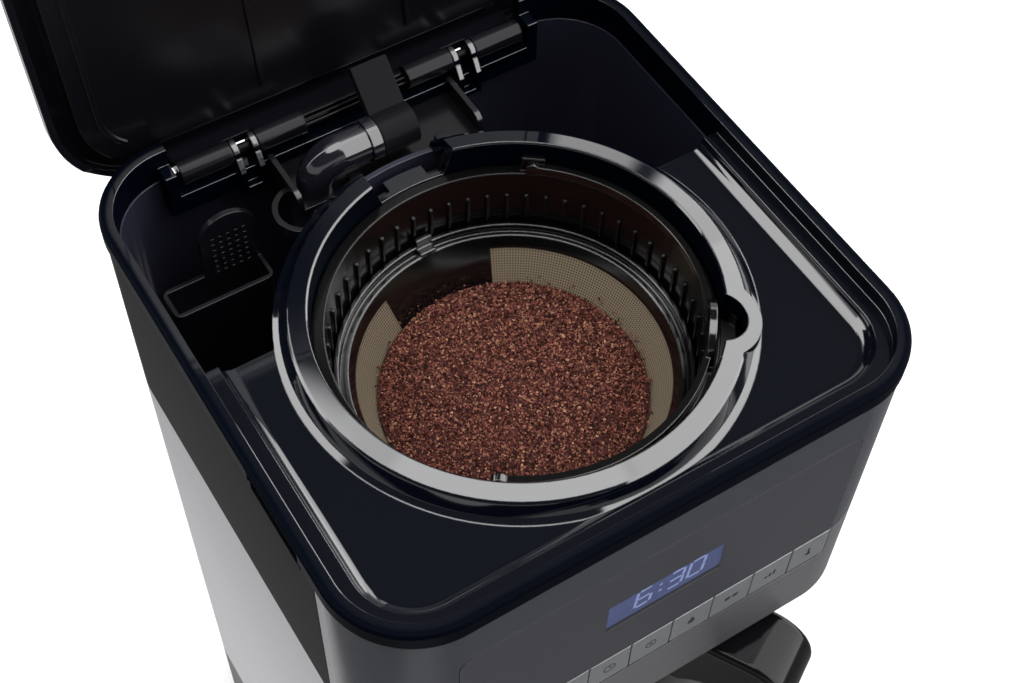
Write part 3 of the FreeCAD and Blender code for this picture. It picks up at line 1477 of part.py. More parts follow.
def make_carafe_lid():
    """Carafe lid: a dished cap with the coffee inlet, a skirt in the mouth and a hinge tongue."""
    plug = carafe_neck_r - glass_thickness - moving_gap
    flange = carafe_neck_r
    seat = carafe_top + seat_gap
    wall = carafe_lid_wall
    top = carafe_lid_top
    profile = [(carafe_inlet_r, top - 6), (carafe_inlet_r + 9, top), (flange - 10, top), (flange, top - 7),
               (flange, seat), (plug, seat), (plug, seat - 9), (plug - wall, seat - 9),
               (plug - wall, top - 8 - wall), (flange - 11, top - wall),
               (carafe_inlet_r + 9, top - wall), (carafe_inlet_r, top - 6 - wall)]
    lid = revolved(profile)
    tongue_half = handle_width / 2.0 - 4 - moving_gap
    reach = lid_pivot_r
    tongue = box(flange - 4, reach, brew_y - tongue_half, brew_y + tongue_half, seat, lid_pivot_z + lug_r - 1)
    eye = Part.makeCylinder(lug_r - 0.6, 2 * tongue_half, Vector(reach, brew_y - tongue_half, lid_pivot_z),
                            Y_AXIS)
    tongue = tongue.fuse(eye)
    thumb = box(reach - 4, reach + 22, brew_y - 8, brew_y + 8, handle_top_z + 0.4, handle_top_z + 3.4)
    riser = box(reach - 4, reach + 1, brew_y - 8, brew_y + 8, lid_pivot_z, handle_top_z + 3.4)
    tongue = tongue.fuse(thumb).fuse(riser)
    bore = Part.makeCylinder(carafe_pin_r + pin_clearance, handle_width + 4,
                             Vector(reach, brew_y - handle_width / 2 - 2, lid_pivot_z), Y_AXIS)
    tongue = tongue.cut(bore).cut(cylinder(flange - 6, 0, brew_y, 0, rim_top))
    return lid.fuse(about_brew(tongue, handle_angle)).removeSplitter()


def make_carafe_pin():
    """Pin of the carafe lid's hinge."""
    half = handle_width / 2.0
    pin = Part.makeCylinder(carafe_pin_r, handle_width - 4.4, Vector(lid_pivot_r, brew_y - half + 2.2,
                                                                  lid_pivot_z), Y_AXIS)
    return about_brew(pin, handle_angle)


def main():
    """Build every piece and write it."""
    os.makedirs("parts", exist_ok=True)
    save("base_shell", make_base_shell())
    save("bottom_cover", make_bottom_cover())
    save("rubber_feet", make_rubber_feet())
    save("base_screws", make_base_screws())
    save("hot_plate", make_hot_plate())
    save("hot_plate_seal", make_hot_plate_seal())
    save("heater_element", make_heater_element())
    save("heater_clip", make_heater_clip())
    save("thermostat", make_thermostat())
    save("thermal_fuses", make_thermal_fuses())
    save("inlet_hose", make_inlet_hose())
    save("riser_hose", make_riser_hose())
    save("check_valve", make_check_valve())
    save("cord_gland", make_cord_gland())
    save("column_shell", make_column_shell())
    left_panel = make_side_panel()
    save("left_side_panel", left_panel)
    save("right_side_panel", mirrored(left_panel))
    save("back_cover", make_back_cover())
    save("front_strip", make_front_strip())
    save("head_shell", make_head_shell())
    save("upper_band", make_upper_band())
    save("front_fascia", make_front_fascia())
    save("control_panel", make_control_panel())
    save("display_window", make_display_window())
    save("lcd_module", make_lcd_module())
    save("control_board", make_control_board())
    for index in range(button_count):
        save("button_%d" % (index + 1), make_button(index))
    save("top_frame", make_top_frame())
    save("brew_chamber", make_brew_chamber())
    save("water_tank", make_water_tank())
    save("elbow_pipe", make_elbow_pipe())
    save("pipe_bridge", make_pipe_bridge())
    save("outlet_arm", make_outlet_arm())
    save("hinge_pins", make_hinge_pins())
    save("lid_shell", make_lid_shell())
    save("lid_liner", make_lid_liner())
    save("spray_plate", make_spray_plate())
    save("brew_basket", make_brew_basket())
    save("bail_handle", make_bail_handle())
    save("valve_plunger", make_valve_plunger())
    save("valve_cap", make_valve_cap())
    save("valve_spring", make_valve_spring())
    save("filter_frame", make_filter_frame())
    save("filter_mesh", make_filter_mesh())
    save("coffee_grounds", make_coffee_grounds())
    save("water_filter_holder", make_filter_holder())
    save("filter_cartridge", make_filter_cartridge())
    save("carafe_glass", make_carafe_glass())
    save("carafe_band", make_carafe_band())
    save("carafe_handle", make_carafe_handle())
    save("carafe_lid", make_carafe_lid())
    save("carafe_pin", make_carafe_pin())


main()
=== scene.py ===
"""Looks of the drip coffee maker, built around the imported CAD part."""

import json
import logging
import math
from dataclasses import dataclass, field
from enum import Enum

import bpy
import numpy as np
from mathutils import Matrix, Vector


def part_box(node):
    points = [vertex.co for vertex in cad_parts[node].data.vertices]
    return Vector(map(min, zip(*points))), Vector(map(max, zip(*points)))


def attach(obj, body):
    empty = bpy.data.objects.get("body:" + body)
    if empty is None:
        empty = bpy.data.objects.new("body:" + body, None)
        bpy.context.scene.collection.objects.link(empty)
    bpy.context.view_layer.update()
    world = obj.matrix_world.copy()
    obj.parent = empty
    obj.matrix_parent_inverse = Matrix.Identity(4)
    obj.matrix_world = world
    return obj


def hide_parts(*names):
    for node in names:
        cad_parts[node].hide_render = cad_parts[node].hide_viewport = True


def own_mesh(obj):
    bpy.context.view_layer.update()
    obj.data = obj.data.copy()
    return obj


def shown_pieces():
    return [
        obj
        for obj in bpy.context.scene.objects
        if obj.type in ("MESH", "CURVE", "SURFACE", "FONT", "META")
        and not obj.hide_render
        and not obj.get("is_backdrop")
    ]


logging.basicConfig(level=logging.INFO, format="%(levelname)s %(message)s")
LOG = logging.getLogger("coffee_maker")

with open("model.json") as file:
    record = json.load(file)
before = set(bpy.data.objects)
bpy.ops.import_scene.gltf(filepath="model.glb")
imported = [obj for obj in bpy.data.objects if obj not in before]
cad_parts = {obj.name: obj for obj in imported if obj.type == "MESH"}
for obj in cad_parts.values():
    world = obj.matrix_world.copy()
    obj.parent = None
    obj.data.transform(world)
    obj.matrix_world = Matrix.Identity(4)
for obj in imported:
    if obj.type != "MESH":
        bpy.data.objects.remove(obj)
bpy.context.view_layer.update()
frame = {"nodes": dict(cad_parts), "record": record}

MM = 0.001
FULL_TURN = 2 * math.pi
EDGE_SAMPLES = 6

# X and Y of the upright axis of the basket, filter and drip stop, in millimetres
BREW_AXIS = (0.0, -12.5)

Color = tuple[float, float, float]
Triple = tuple[float, float, float]
Span = tuple[float, float]
Points = list[tuple[float, float]]
Faces = list[tuple[int, ...]]
Tree = bpy.types.NodeTree
Node = bpy.types.Node
Socket = bpy.types.NodeSocket


# Node helpers

def feed(tree: Tree, socket: Socket, value: Socket | float) -> None:
    """Link an input to an output, or set it to a number."""
    if isinstance(value, (int, float)):
        socket.default_value = value
    else:
        tree.links.new(value, socket)


def add_math(tree: Tree, operation: str, *values: Socket | float) -> Socket:
    """Add one math node.

    Args:
        tree: Tree that gets the node.
        operation: Name of the operation.
        values: Socket or number for each operand.

    Returns:
        The output socket.
    """
    node = tree.nodes.new("ShaderNodeMath")
    node.operation = operation
    for socket, value in zip(node.inputs, values):
        feed(tree, socket, value)
    return node.outputs["Value"]


def add_range(tree: Tree, value: Socket, span: tuple[Socket | float, Socket | float], ends: Span,
              interpolation: str = "LINEAR") -> Socket:
    """Add a change from one level to another as a value crosses a span.

    Args:
        tree: Tree that gets the node.
        value: The value.
        span: Where the change starts and ends.
        ends: Levels before and after it.
        interpolation: Form of the change.

    Returns:
        The level's socket.
    """
    node = tree.nodes.new("ShaderNodeMapRange")
    node.interpolation_type = interpolation
    tree.links.new(value, node.inputs["Value"])
    for name, limit in zip(("From Min", "From Max", "To Min", "To Max"), (*span, *ends)):
        feed(tree, node.inputs[name], limit)
    return node.outputs["Result"]


def add_mix(tree: Tree, factor: Socket, first: Socket | float, second: Socket | float) -> Socket:
    """Add a mix of two values.

    Args:
        tree: Tree that gets the node.
        factor: Share of the second value.
        first: First value.
        second: Second value.

    Returns:
        The mixed value's socket.
    """
    node = tree.nodes.new("ShaderNodeMix")
    node.data_type = "FLOAT"
    for name, value in (("Factor", factor), ("A", first), ("B", second)):
        feed(tree, node.inputs[name], value)
    return node.outputs["Result"]


def coordinates(tree: Tree, kind: str) -> Socket:
    """Add texture coordinates of a kind."""
    return tree.nodes.new("ShaderNodeTexCoord").outputs[kind]


def split_axes(tree: Tree, vector: Socket) -> bpy.types.NodeOutputs:
    """Split a vector into its X, Y and Z sockets."""
    node = tree.nodes.new("ShaderNodeSeparateXYZ")
    tree.links.new(vector, node.inputs["Vector"])
    return node.outputs


def start_material(name: str) -> tuple[bpy.types.Material, Tree, Node]:
    """Make a material with its first shader.

    Args:
        name: Name of the material.

    Returns:
        The material, its tree and its Principled shader.
    """
    material = bpy.data.materials.new(name)
    material.use_nodes = True
    return material, material.node_tree, material.node_tree.nodes["Principled BSDF"]


# Shared shader effects

class Effect(Enum):
    """Shader effects, by the name of their node group."""

    SOFT_EDGE = "SoftEdge"
    BRUSHING = "Brushing"
    WEAVE = "Weave"
    FACING_UP = "FacingUp"


@dataclass
class EffectGroups:
    """Node groups, each made once and placed in the materials that use it. They give masks and normals."""

    grain_detail: float = 3.0
    grain_depth: float = 0.0001
    streak_scale: Triple = (9.0, 9.0, 4200.0)
    streak_detail: float = 4.0
    streak_roughness: float = 0.65
    threads_round: float = 330.0
    threads_up: float = 7200.0
    thread_bump: float = 0.5
    thread_depth: float = 0.0002
    _made: dict[Effect, Tree] = field(default_factory=dict)

    def place(self, tree: Tree, effect: Effect, **values: float) -> Node:
        """Put an effect in a material. Its group is made at its first use.

        Args:
            tree: The material's tree.
            effect: The effect.
            values: Values of the group's inputs, by name.

        Returns:
            The group node.
        """
        makers = {Effect.SOFT_EDGE: self._soft_edge, Effect.BRUSHING: self._brushing,
                  Effect.WEAVE: self._weave, Effect.FACING_UP: self._facing_up}
        if effect not in self._made:
            self._made[effect] = makers[effect]()
        node = tree.nodes.new("ShaderNodeGroup")
        node.node_tree = self._made[effect]
        for name, value in values.items():
            node.inputs[name].default_value = value
        return node

    @staticmethod
    def _start(effect: Effect, inputs: dict[str, float], outputs: dict[str, str]) -> tuple[Tree, Node, Node]:
        """Make an empty group with its sockets.

        Args:
            effect: The effect.
            inputs: Default of each input, by name.
            outputs: Socket type of each output, by name.

        Returns:
            The tree, its input node and its output node.
        """
        tree = bpy.data.node_groups.new(effect.value, "ShaderNodeTree")
        for label, default in inputs.items():
            socket = tree.interface.new_socket(label, in_out="INPUT", socket_type="NodeSocketFloat")
            socket.default_value = default
        for label, kind in outputs.items():
            tree.interface.new_socket(label, in_out="OUTPUT", socket_type=kind)
        return tree, tree.nodes.new("NodeGroupInput"), tree.nodes.new("NodeGroupOutput")

    def _soft_edge(self) -> Tree:
        """Normal with rounded edges and a fine moulded grain.

        Returns:
            The node group.
        """
        tree, given, result = self._start(
            Effect.SOFT_EDGE, {"Radius": 0.0004, "Grain": 0.05, "Scale": 1500.0},
            {"Normal": "NodeSocketVector", "Mask": "NodeSocketFloat"})
        edge = tree.nodes.new("ShaderNodeBevel")
        edge.samples = EDGE_SAMPLES
        noise = tree.nodes.new("ShaderNodeTexNoise")
        noise.inputs["Detail"].default_value = self.grain_detail
        bump = tree.nodes.new("ShaderNodeBump")
        bump.inputs["Distance"].default_value = self.grain_depth
        link = tree.links.new
        link(given.outputs["Radius"], edge.inputs["Radius"])
        link(coordinates(tree, "Object"), noise.inputs["Vector"])
        link(given.outputs["Scale"], noise.inputs["Scale"])
        link(noise.outputs["Fac"], bump.inputs["Height"])
        link(given.outputs["Grain"], bump.inputs["Strength"])
        link(edge.outputs["Normal"], bump.inputs["Normal"])
        link(bump.outputs["Normal"], result.inputs["Normal"])
        link(noise.outputs["Fac"], result.inputs["Mask"])
        return tree

    def _brushing(self) -> Tree:
        """Streaks of brushed metal that run level round the body.

        Returns:
            The node group.
        """
        tree, _given, result = self._start(Effect.BRUSHING, {}, {"Mask": "NodeSocketFloat"})
        stretch = tree.nodes.new("ShaderNodeMapping")
        stretch.inputs["Scale"].default_value = self.streak_scale
        noise = tree.nodes.new("ShaderNodeTexNoise")
        noise.inputs["Scale"].default_value = 1.0
        noise.inputs["Detail"].default_value = self.streak_detail
        noise.inputs["Roughness"].default_value = self.streak_roughness
        link = tree.links.new
        link(coordinates(tree, "Object"), stretch.inputs["Vector"])
        link(stretch.outputs["Vector"], noise.inputs["Vector"])
        link(noise.outputs["Fac"], result.inputs["Mask"])
        return tree

    def _weave(self) -> Tree:
        """Fine gauze: crossing threads round the filter's cone.

        Returns:
            The node group.
        """
        tree, _given, result = self._start(Effect.WEAVE, {}, {"Mask": "NodeSocketFloat",
                                                              "Normal": "NodeSocketVector"})
        link = tree.links.new
        shift = tree.nodes.new("ShaderNodeMapping")
        shift.inputs["Location"].default_value = (0.0, -BREW_AXIS[1] * MM, 0.0)
        link(coordinates(tree, "Object"), shift.inputs["Vector"])
        axes = split_axes(tree, shift.outputs["Vector"])
        turn = add_math(tree, "ARCTAN2", axes["Y"], axes["X"])
        across = add_math(tree, "SINE", add_math(tree, "MULTIPLY", turn, self.threads_round))
        along = add_math(tree, "SINE", add_math(tree, "MULTIPLY", axes["Z"], self.threads_up))
        threads = add_math(tree, "MAXIMUM", across, along)
        mask = add_math(tree, "MULTIPLY_ADD", threads, 0.5, 0.5)
        bump = tree.nodes.new("ShaderNodeBump")
        bump.inputs["Strength"].default_value = self.thread_bump
        bump.inputs["Distance"].default_value = self.thread_depth
        link(mask, bump.inputs["Height"])
        link(mask, result.inputs["Mask"])
        link(bump.outputs["Normal"], result.inputs["Normal"])
        return tree

    def _facing_up(self) -> Tree:
        """Mask of the faces that look up, by the upward part of their normal.

        Returns:
            The node group.
        """
        tree, given, result = self._start(Effect.FACING_UP, {"Low": 0.1, "High": 0.5},
                                          {"Mask": "NodeSocketFloat"})
        facing = tree.nodes.new("ShaderNodeNewGeometry")
        upward = split_axes(tree, facing.outputs["True Normal"])["Z"]
        mask = add_range(tree, upward, (given.outputs["Low"], given.outputs["High"]), (0.0, 1.0))
        tree.links.new(mask, result.inputs["Mask"])
        return tree


# Finishes

class Surface(Enum):
    """Ways in which a finish varies over its surface."""

    SMOOTH = "smooth"
    GRAINED = "grained"
    BRUSHED = "brushed"
    WOVEN = "woven"


# Factors on the base colour where the mask of a surface is low and high
SHADES: dict[Surface, Span] = {
    Surface.GRAINED: (0.85, 1.15),
    Surface.BRUSHED: (0.72, 1.2),
    Surface.WOVEN: (0.15, 1.35),
}
SHADE_STOPS = (0.3, 0.7)

# The rim is a rounded square: half the side of its core, and the distances from it where the polish ends
RIM_CORE = 0.0705
RIM_EDGE = (0.0262, 0.0274)
POLISH_ROUGHNESS = 0.05
POLISH_IOR = 1.79
POLISH_FACING = (0.12, 0.3)
# Facing-up range over which the painted shade on upward ledges sets in
PAINTED_LEDGE_SHADE_FACING = (0.25, 0.6)

# Colour sockets of a Mix node, which share their names with its other sockets
MIX_FIRST, MIX_SECOND, MIX_RESULT = 6, 7, 2


@dataclass(frozen=True)
class Finish:
    """Opaque finish.

    Grain is the strength of its fine bump and scale how fine that is, edge is the radius of its softened edges
    in metres, glow is its own light, coat polishes the faces that look up, and the ledge factor darkens them
    with painted shade, so that the overhead light draws no pale line on them.
    """

    base: Color
    roughness: float
    metallic: float = 0.0
    grain: float = 0.03
    scale: float = 1500.0
    edge: float = 0.0004
    surface: Surface = Surface.SMOOTH
    glow: float = 0.0
    specular: float = 0.5
    coat: bool = False
    painted_ledge_shade: float = 1.0

    def build(self, name: str, groups: EffectGroups) -> bpy.types.Material:
        """Make the material.

        Args:
            name: Name of the material.
            groups: Shared shader effects.

        Returns:
            The material.
        """
        material, tree, shader = start_material(name)
        shader.inputs["Base Color"].default_value = (*self.base, 1.0)
        shader.inputs["Roughness"].default_value = self.roughness
        shader.inputs["Metallic"].default_value = self.metallic
        shader.inputs["Specular IOR Level"].default_value = self.specular
        if self.glow:
            shader.inputs["Emission Color"].default_value = (*self.base, 1.0)
            shader.inputs["Emission Strength"].default_value = self.glow
        soft = groups.place(tree, Effect.SOFT_EDGE, Radius=self.edge, Grain=self.grain, Scale=self.scale)
        tree.links.new(soft.outputs["Normal"], shader.inputs["Normal"])
        if self.surface is Surface.BRUSHED:
            self._vary(tree, shader, groups.place(tree, Effect.BRUSHING))
        elif self.surface is Surface.WOVEN:
            woven = groups.place(tree, Effect.WEAVE)
            self._vary(tree, shader, woven)
            tree.links.new(woven.outputs["Normal"], shader.inputs["Normal"])
        elif self.surface is Surface.GRAINED:
            self._vary(tree, shader, soft)
        if self.coat:
            self._coat_tops(tree, shader, groups)
        if self.painted_ledge_shade < 1.0:
            self._shade_ledges(tree, shader, groups)
        return material

    def _vary(self, tree: Tree, shader: Node, source: Node) -> None:
        """Let a mask darken and lighten the base colour.

        Args:
            tree: The material's tree.
            shader: The Principled shader.
            source: Node with a Mask output.
        """
        ramp = tree.nodes.new("ShaderNodeValToRGB")
        for stop, position, shade in zip(ramp.color_ramp.elements, SHADE_STOPS, SHADES[self.surface]):
            stop.position = position
            stop.color = (*[min(1.0, part * shade) for part in self.base], 1.0)
        tree.links.new(source.outputs["Mask"], ramp.inputs["Fac"])
        tree.links.new(ramp.outputs["Color"], shader.inputs["Base Color"])

    def _coat_tops(self, tree: Tree, shader: Node, groups: EffectGroups) -> None:
        """Polish the faces that look up, and leave the walls satin.

        Args:
            tree: The material's tree.
            shader: The Principled shader.
            groups: Shared shader effects.
        """
        shader.inputs["Coat Roughness"].default_value = POLISH_ROUGHNESS
        shader.inputs["Coat IOR"].default_value = POLISH_IOR
        low, high = POLISH_FACING
        upward = groups.place(tree, Effect.FACING_UP, Low=low, High=high)
        polish = add_math(tree, "MULTIPLY", upward.outputs["Mask"], self._inside_rim(tree))
        tree.links.new(polish, shader.inputs["Coat Weight"])
        edge = tree.nodes.new("ShaderNodeBevel")
        edge.samples = EDGE_SAMPLES
        edge.inputs["Radius"].default_value = self.edge
        tree.links.new(edge.outputs["Normal"], shader.inputs["Coat Normal"])

    @staticmethod
    def _inside_rim(tree: Tree) -> Socket:
        """Mask that drops to nothing on the rim's rounded outer edge, which is left satin.

        Args:
            tree: The material's tree.

        Returns:
            The mask's socket.
        """
        axes = split_axes(tree, coordinates(tree, "Object"))
        squares = []
        for axis in "XY":
            reach = add_math(tree, "SUBTRACT", add_math(tree, "ABSOLUTE", axes[axis]), RIM_CORE)
            reach = add_math(tree, "MAXIMUM", reach, 0.0)
            squares.append(add_math(tree, "MULTIPLY", reach, reach))
        distance = add_math(tree, "SQRT", add_math(tree, "ADD", *squares))
        return add_range(tree, distance, RIM_EDGE, (1.0, 0.0))

    def _shade_ledges(self, tree: Tree, shader: Node, groups: EffectGroups) -> None:
        """Darken the narrow edges that look up with painted shade, so that the overhead light draws no pale
        line on them.

        Args:
            tree: The material's tree.
            shader: The Principled shader.
            groups: Shared shader effects.
        """
        mix = tree.nodes.new("ShaderNodeMix")
        mix.data_type = "RGBA"
        mix.blend_type = "MULTIPLY"
        low, high = PAINTED_LEDGE_SHADE_FACING
        upward = groups.place(tree, Effect.FACING_UP, Low=low, High=high)
        tint = shader.inputs["Base Color"].links[0].from_socket
        tree.links.new(upward.outputs["Mask"], mix.inputs["Factor"])
        tree.links.new(tint, mix.inputs[MIX_FIRST])
        mix.inputs[MIX_SECOND].default_value = (self.painted_ledge_shade, self.painted_ledge_shade, self.painted_ledge_shade, 1.0)
        tree.links.new(mix.outputs[MIX_RESULT], shader.inputs["Base Color"])


@dataclass(frozen=True)
class GlassFinish:
    """Clear finish: see-through, with a reflection that grows at grazing angles."""

    tint: Color
    ior: float = 1.45
    roughness: float = 0.02

    def build(self, name: str, _groups: EffectGroups) -> bpy.types.Material:
        """Make the material.

        Args:
            name: Name of the material.
            _groups: Shared shader effects, which glass doesn't use.

        Returns:
            The material.
        """
        material, tree, _shader = start_material(name)
        clear = tree.nodes.new("ShaderNodeBsdfTransparent")
        clear.inputs["Color"].default_value = (*self.tint, 1.0)
        fresnel = tree.nodes.new("ShaderNodeFresnel")
        fresnel.inputs["IOR"].default_value = self.ior
        gloss = tree.nodes.new("ShaderNodeBsdfGlossy")
        gloss.inputs["Roughness"].default_value = self.roughness
        mix = tree.nodes.new("ShaderNodeMixShader")
        tree.links.new(fresnel.outputs["Fac"], mix.inputs["Fac"])
        tree.links.new(clear.outputs["BSDF"], mix.inputs[1])
        tree.links.new(gloss.outputs["BSDF"], mix.inputs[2])
        tree.links.new(mix.outputs["Shader"], tree.nodes["Material Output"].inputs["Surface"])
        return material


@dataclass(frozen=True)
class CoffeeFinish:
    """Ground coffee: the tone of each grain comes from the mesh."""

    dark: Color = (0.012, 0.004, 0.0026)
    middle: Color = (0.2, 0.061, 0.05)
    light: Color = (0.52, 0.28, 0.16)
    roughness: float = 0.62
    specular: float = 0.12

    def build(self, name: str, _groups: EffectGroups) -> bpy.types.Material:
        """Make the material.

        Args:
            name: Name of the material.
            _groups: Shared shader effects, which the grains don't use.

        Returns:
            The material.
        """
        material, tree, shader = start_material(name)
        shader.inputs["Base Color"].default_value = (*self.middle, 1.0)
        shader.inputs["Roughness"].default_value = self.roughness
        shader.inputs["Specular IOR Level"].default_value = self.specular
        tone = tree.nodes.new("ShaderNodeAttribute")
        tone.attribute_name = "tone"
        ramp = tree.nodes.new("ShaderNodeValToRGB")
        stops = ramp.color_ramp.elements
        stops[0].color = (*self.dark, 1.0)
        stops[1].color = (*self.light, 1.0)
        stops.new(0.5).color = (*self.middle, 1.0)
        tree.links.new(tone.outputs["Fac"], ramp.inputs["Fac"])
        tree.links.new(ramp.outputs["Color"], shader.inputs["Base Color"])
        return material


FINISHES: dict[str, Finish | GlassFinish | CoffeeFinish] = {
    "black_satin": Finish((0.004, 0.004, 0.0045), 0.38, grain=0.08),
    "foot_rubber": Finish((0.016, 0.016, 0.016), 0.75, grain=0.2),
    "zinc_steel": Finish((0.6, 0.6, 0.59), 0.3, metallic=1.0),
    "plate_coating": Finish((0.018, 0.018, 0.019), 0.32, grain=0.1),
    "seal_rubber": Finish((0.03, 0.03, 0.03), 0.6),
    "heater_alloy": Finish((0.62, 0.62, 0.62), 0.42, metallic=1.0),
    "fuse_sleeve": Finish((0.7, 0.66, 0.55), 0.8, surface=Surface.GRAINED, grain=0.2),
    "hose_rubber": Finish((0.55, 0.53, 0.48), 0.5),
    "valve_plastic": Finish((0.05, 0.05, 0.053), 0.45),
    # Brushed steel's faces that look up get painted shade, so that the overhead light draws no pale line
    "brushed_steel": Finish((0.545, 0.545, 0.575), 0.34, metallic=1.0, surface=Surface.BRUSHED, grain=0.02,
                            edge=0.00012, painted_ledge_shade=0.16),
    "band_satin": Finish((0.0022, 0.0023, 0.0027), 0.34, grain=0.05, specular=0.003),
    "fascia_gloss": Finish((0.03, 0.031, 0.0365), 0.14, grain=0.01, specular=0.04),
    "panel_satin": Finish((0.019, 0.0195, 0.025), 0.34, grain=0.03, specular=0.4),
    "window_glass": GlassFinish((0.93, 0.95, 1.0)),
    "lcd_blue": Finish((0.07, 0.09, 0.2), 0.25, glow=0.8, grain=0.0),
    "board_green": Finish((0.02, 0.16, 0.06), 0.35),
    "rim_gloss": Finish((0.0005, 0.0011, 0.003), 0.4, grain=0.004, edge=0.0006, specular=0.012, coat=True),
    "chamber_black": Finish((0.0025, 0.0025, 0.003), 0.3),
    "tank_black": Finish((0.014, 0.0145, 0.024), 0.12, grain=0.02),
    "pipe_plastic": Finish((0.006, 0.006, 0.009), 0.07, grain=0.006, specular=0.8),
    "bridge_plastic": Finish((0.003, 0.003, 0.004), 0.2, grain=0.02),
    "arm_plastic": Finish((0.0055, 0.0055, 0.0068), 0.32, grain=0.06, specular=0.05),
    "lid_gloss": Finish((0.003, 0.003, 0.0045), 0.1, grain=0.01, edge=0.0008, specular=0.14),
    "liner_satin": Finish((0.0016, 0.0016, 0.0024), 0.2, grain=0.03),
    "basket_black": Finish((0.0018, 0.0018, 0.0018), 0.16, grain=0.01, edge=0.001, specular=0.35),
    "bail_gloss": Finish((0.0018, 0.0018, 0.0018), 0.1, grain=0.01, edge=0.0006, specular=0.8),
    "valve_silicone": Finish((0.3, 0.1, 0.06), 0.55),
    "spring_steel": Finish((0.62, 0.62, 0.62), 0.25, metallic=1.0),
    "filter_plastic": Finish((0.0018, 0.0018, 0.0018), 0.1, grain=0.008, edge=0.001, specular=1.0),
    "filter_gauze": Finish((0.185, 0.147, 0.104), 0.5, specular=0.05, surface=Surface.WOVEN),
    "ground_coffee": CoffeeFinish(),
    "holder_plastic": Finish((0.004, 0.004, 0.006), 0.22, grain=0.02),
    "charcoal": Finish((0.6, 0.6, 0.58), 0.85, surface=Surface.GRAINED, grain=0.3),
    "carafe_glass": GlassFinish((0.95, 0.965, 0.96)),
    "carafe_black": Finish((0.003, 0.003, 0.0035), 0.12, grain=0.01, specular=0.16),
    "button_silver": Finish((0.225, 0.232, 0.246), 0.36, metallic=0.7, grain=0.02),
}
DIGIT_FINISH = Finish((0.25, 0.3, 0.5), 0.3, glow=0.7, grain=0.0)
MARK_FINISH = Finish((0.012, 0.012, 0.013), 0.5, grain=0.0)

# Nodes whose finish is their own and not their slot's; the front strip's is its slot's brushed steel made
# darker as painted shade
NODE_FINISHES: dict[str, Finish] = {
    "hinge_pins": Finish((0.003, 0.003, 0.0035), 0.3, grain=0.03, specular=0.08),
    # Brushed steel with a darker base colour: painted shade on the front strip
    "front_strip": Finish((0.4, 0.4, 0.425), 0.34, metallic=1.0, surface=Surface.BRUSHED, grain=0.02,
                          edge=0.00012, painted_ledge_shade=0.2),
}


class Painter:
    """Gives every CAD node and added piece its material."""

    def __init__(self) -> None:
        """Start with no material made."""
        self._groups = EffectGroups()
        self._materials: dict[str, bpy.types.Material] = {}

    def material(self, slot: str) -> bpy.types.Material:
        """Material of a record slot."""
        return self.extra(slot, FINISHES[slot])

    def extra(self, name: str, finish: Finish | GlassFinish | CoffeeFinish) -> bpy.types.Material:
        """Material of a finish, made at its first use.

        Args:
            name: Name of the material.
            finish: The finish.

        Returns:
            The material.
        """
        if name not in self._materials:
            self._materials[name] = finish.build(name, self._groups)
        return self._materials[name]

    def paint_nodes(self) -> None:
        """Put the procedural finish of its slot, or its own, on each CAD node."""
        for row in frame["record"]["subparts"]:
            node = frame["nodes"][row["node"]]
            node.data.materials.clear()
            node.data.materials.append(self.material(row["material_slot"]))
        for name, finish in NODE_FINISHES.items():
            frame["nodes"][name].data.materials[0] = self.extra(name, finish)


# Added pieces

GRAIN_CORNERS = ((1, 0, 0), (-1, 0, 0), (0, 1, 0), (0, -1, 0), (0, 0, 1), (0, 0, -1))
GRAIN_SIDES = ((0, 2, 4), (2, 1, 4), (1, 3, 4), (3, 0, 4), (2, 0, 5), (1, 2, 5), (3, 1, 5), (0, 3, 5))


def mesh_object(name: str, points: np.ndarray, faces: Faces) -> bpy.types.Object:
    """Make an object from points in millimetres.

    Args:
        name: Name of the object.
        points: Points, one per row.
        faces: Point indices of each face.

    Returns:
        The object, linked to the scene.
    """
    mesh = bpy.data.meshes.new(name)
    mesh.from_pydata((points * MM).tolist(), [], faces)
    mesh.update()
    made = bpy.data.objects.new(name, mesh)
    bpy.context.scene.collection.objects.link(made)
    return made


def ring_faces(rings: int, sides: int) -> Faces:
    """Faces between closed rings of points that follow each other.

    Args:
        rings: Number of rings.
        sides: Points in each ring.

    Returns:
        The faces.
    """
    faces: Faces = []
    for ring in range(rings - 1):
        first, second = ring * sides, (ring + 1) * sides
        for side in range(sides):
            after = (side + 1) % sides
            faces.append((first + side, second + side, second + after, first + after))
    return faces


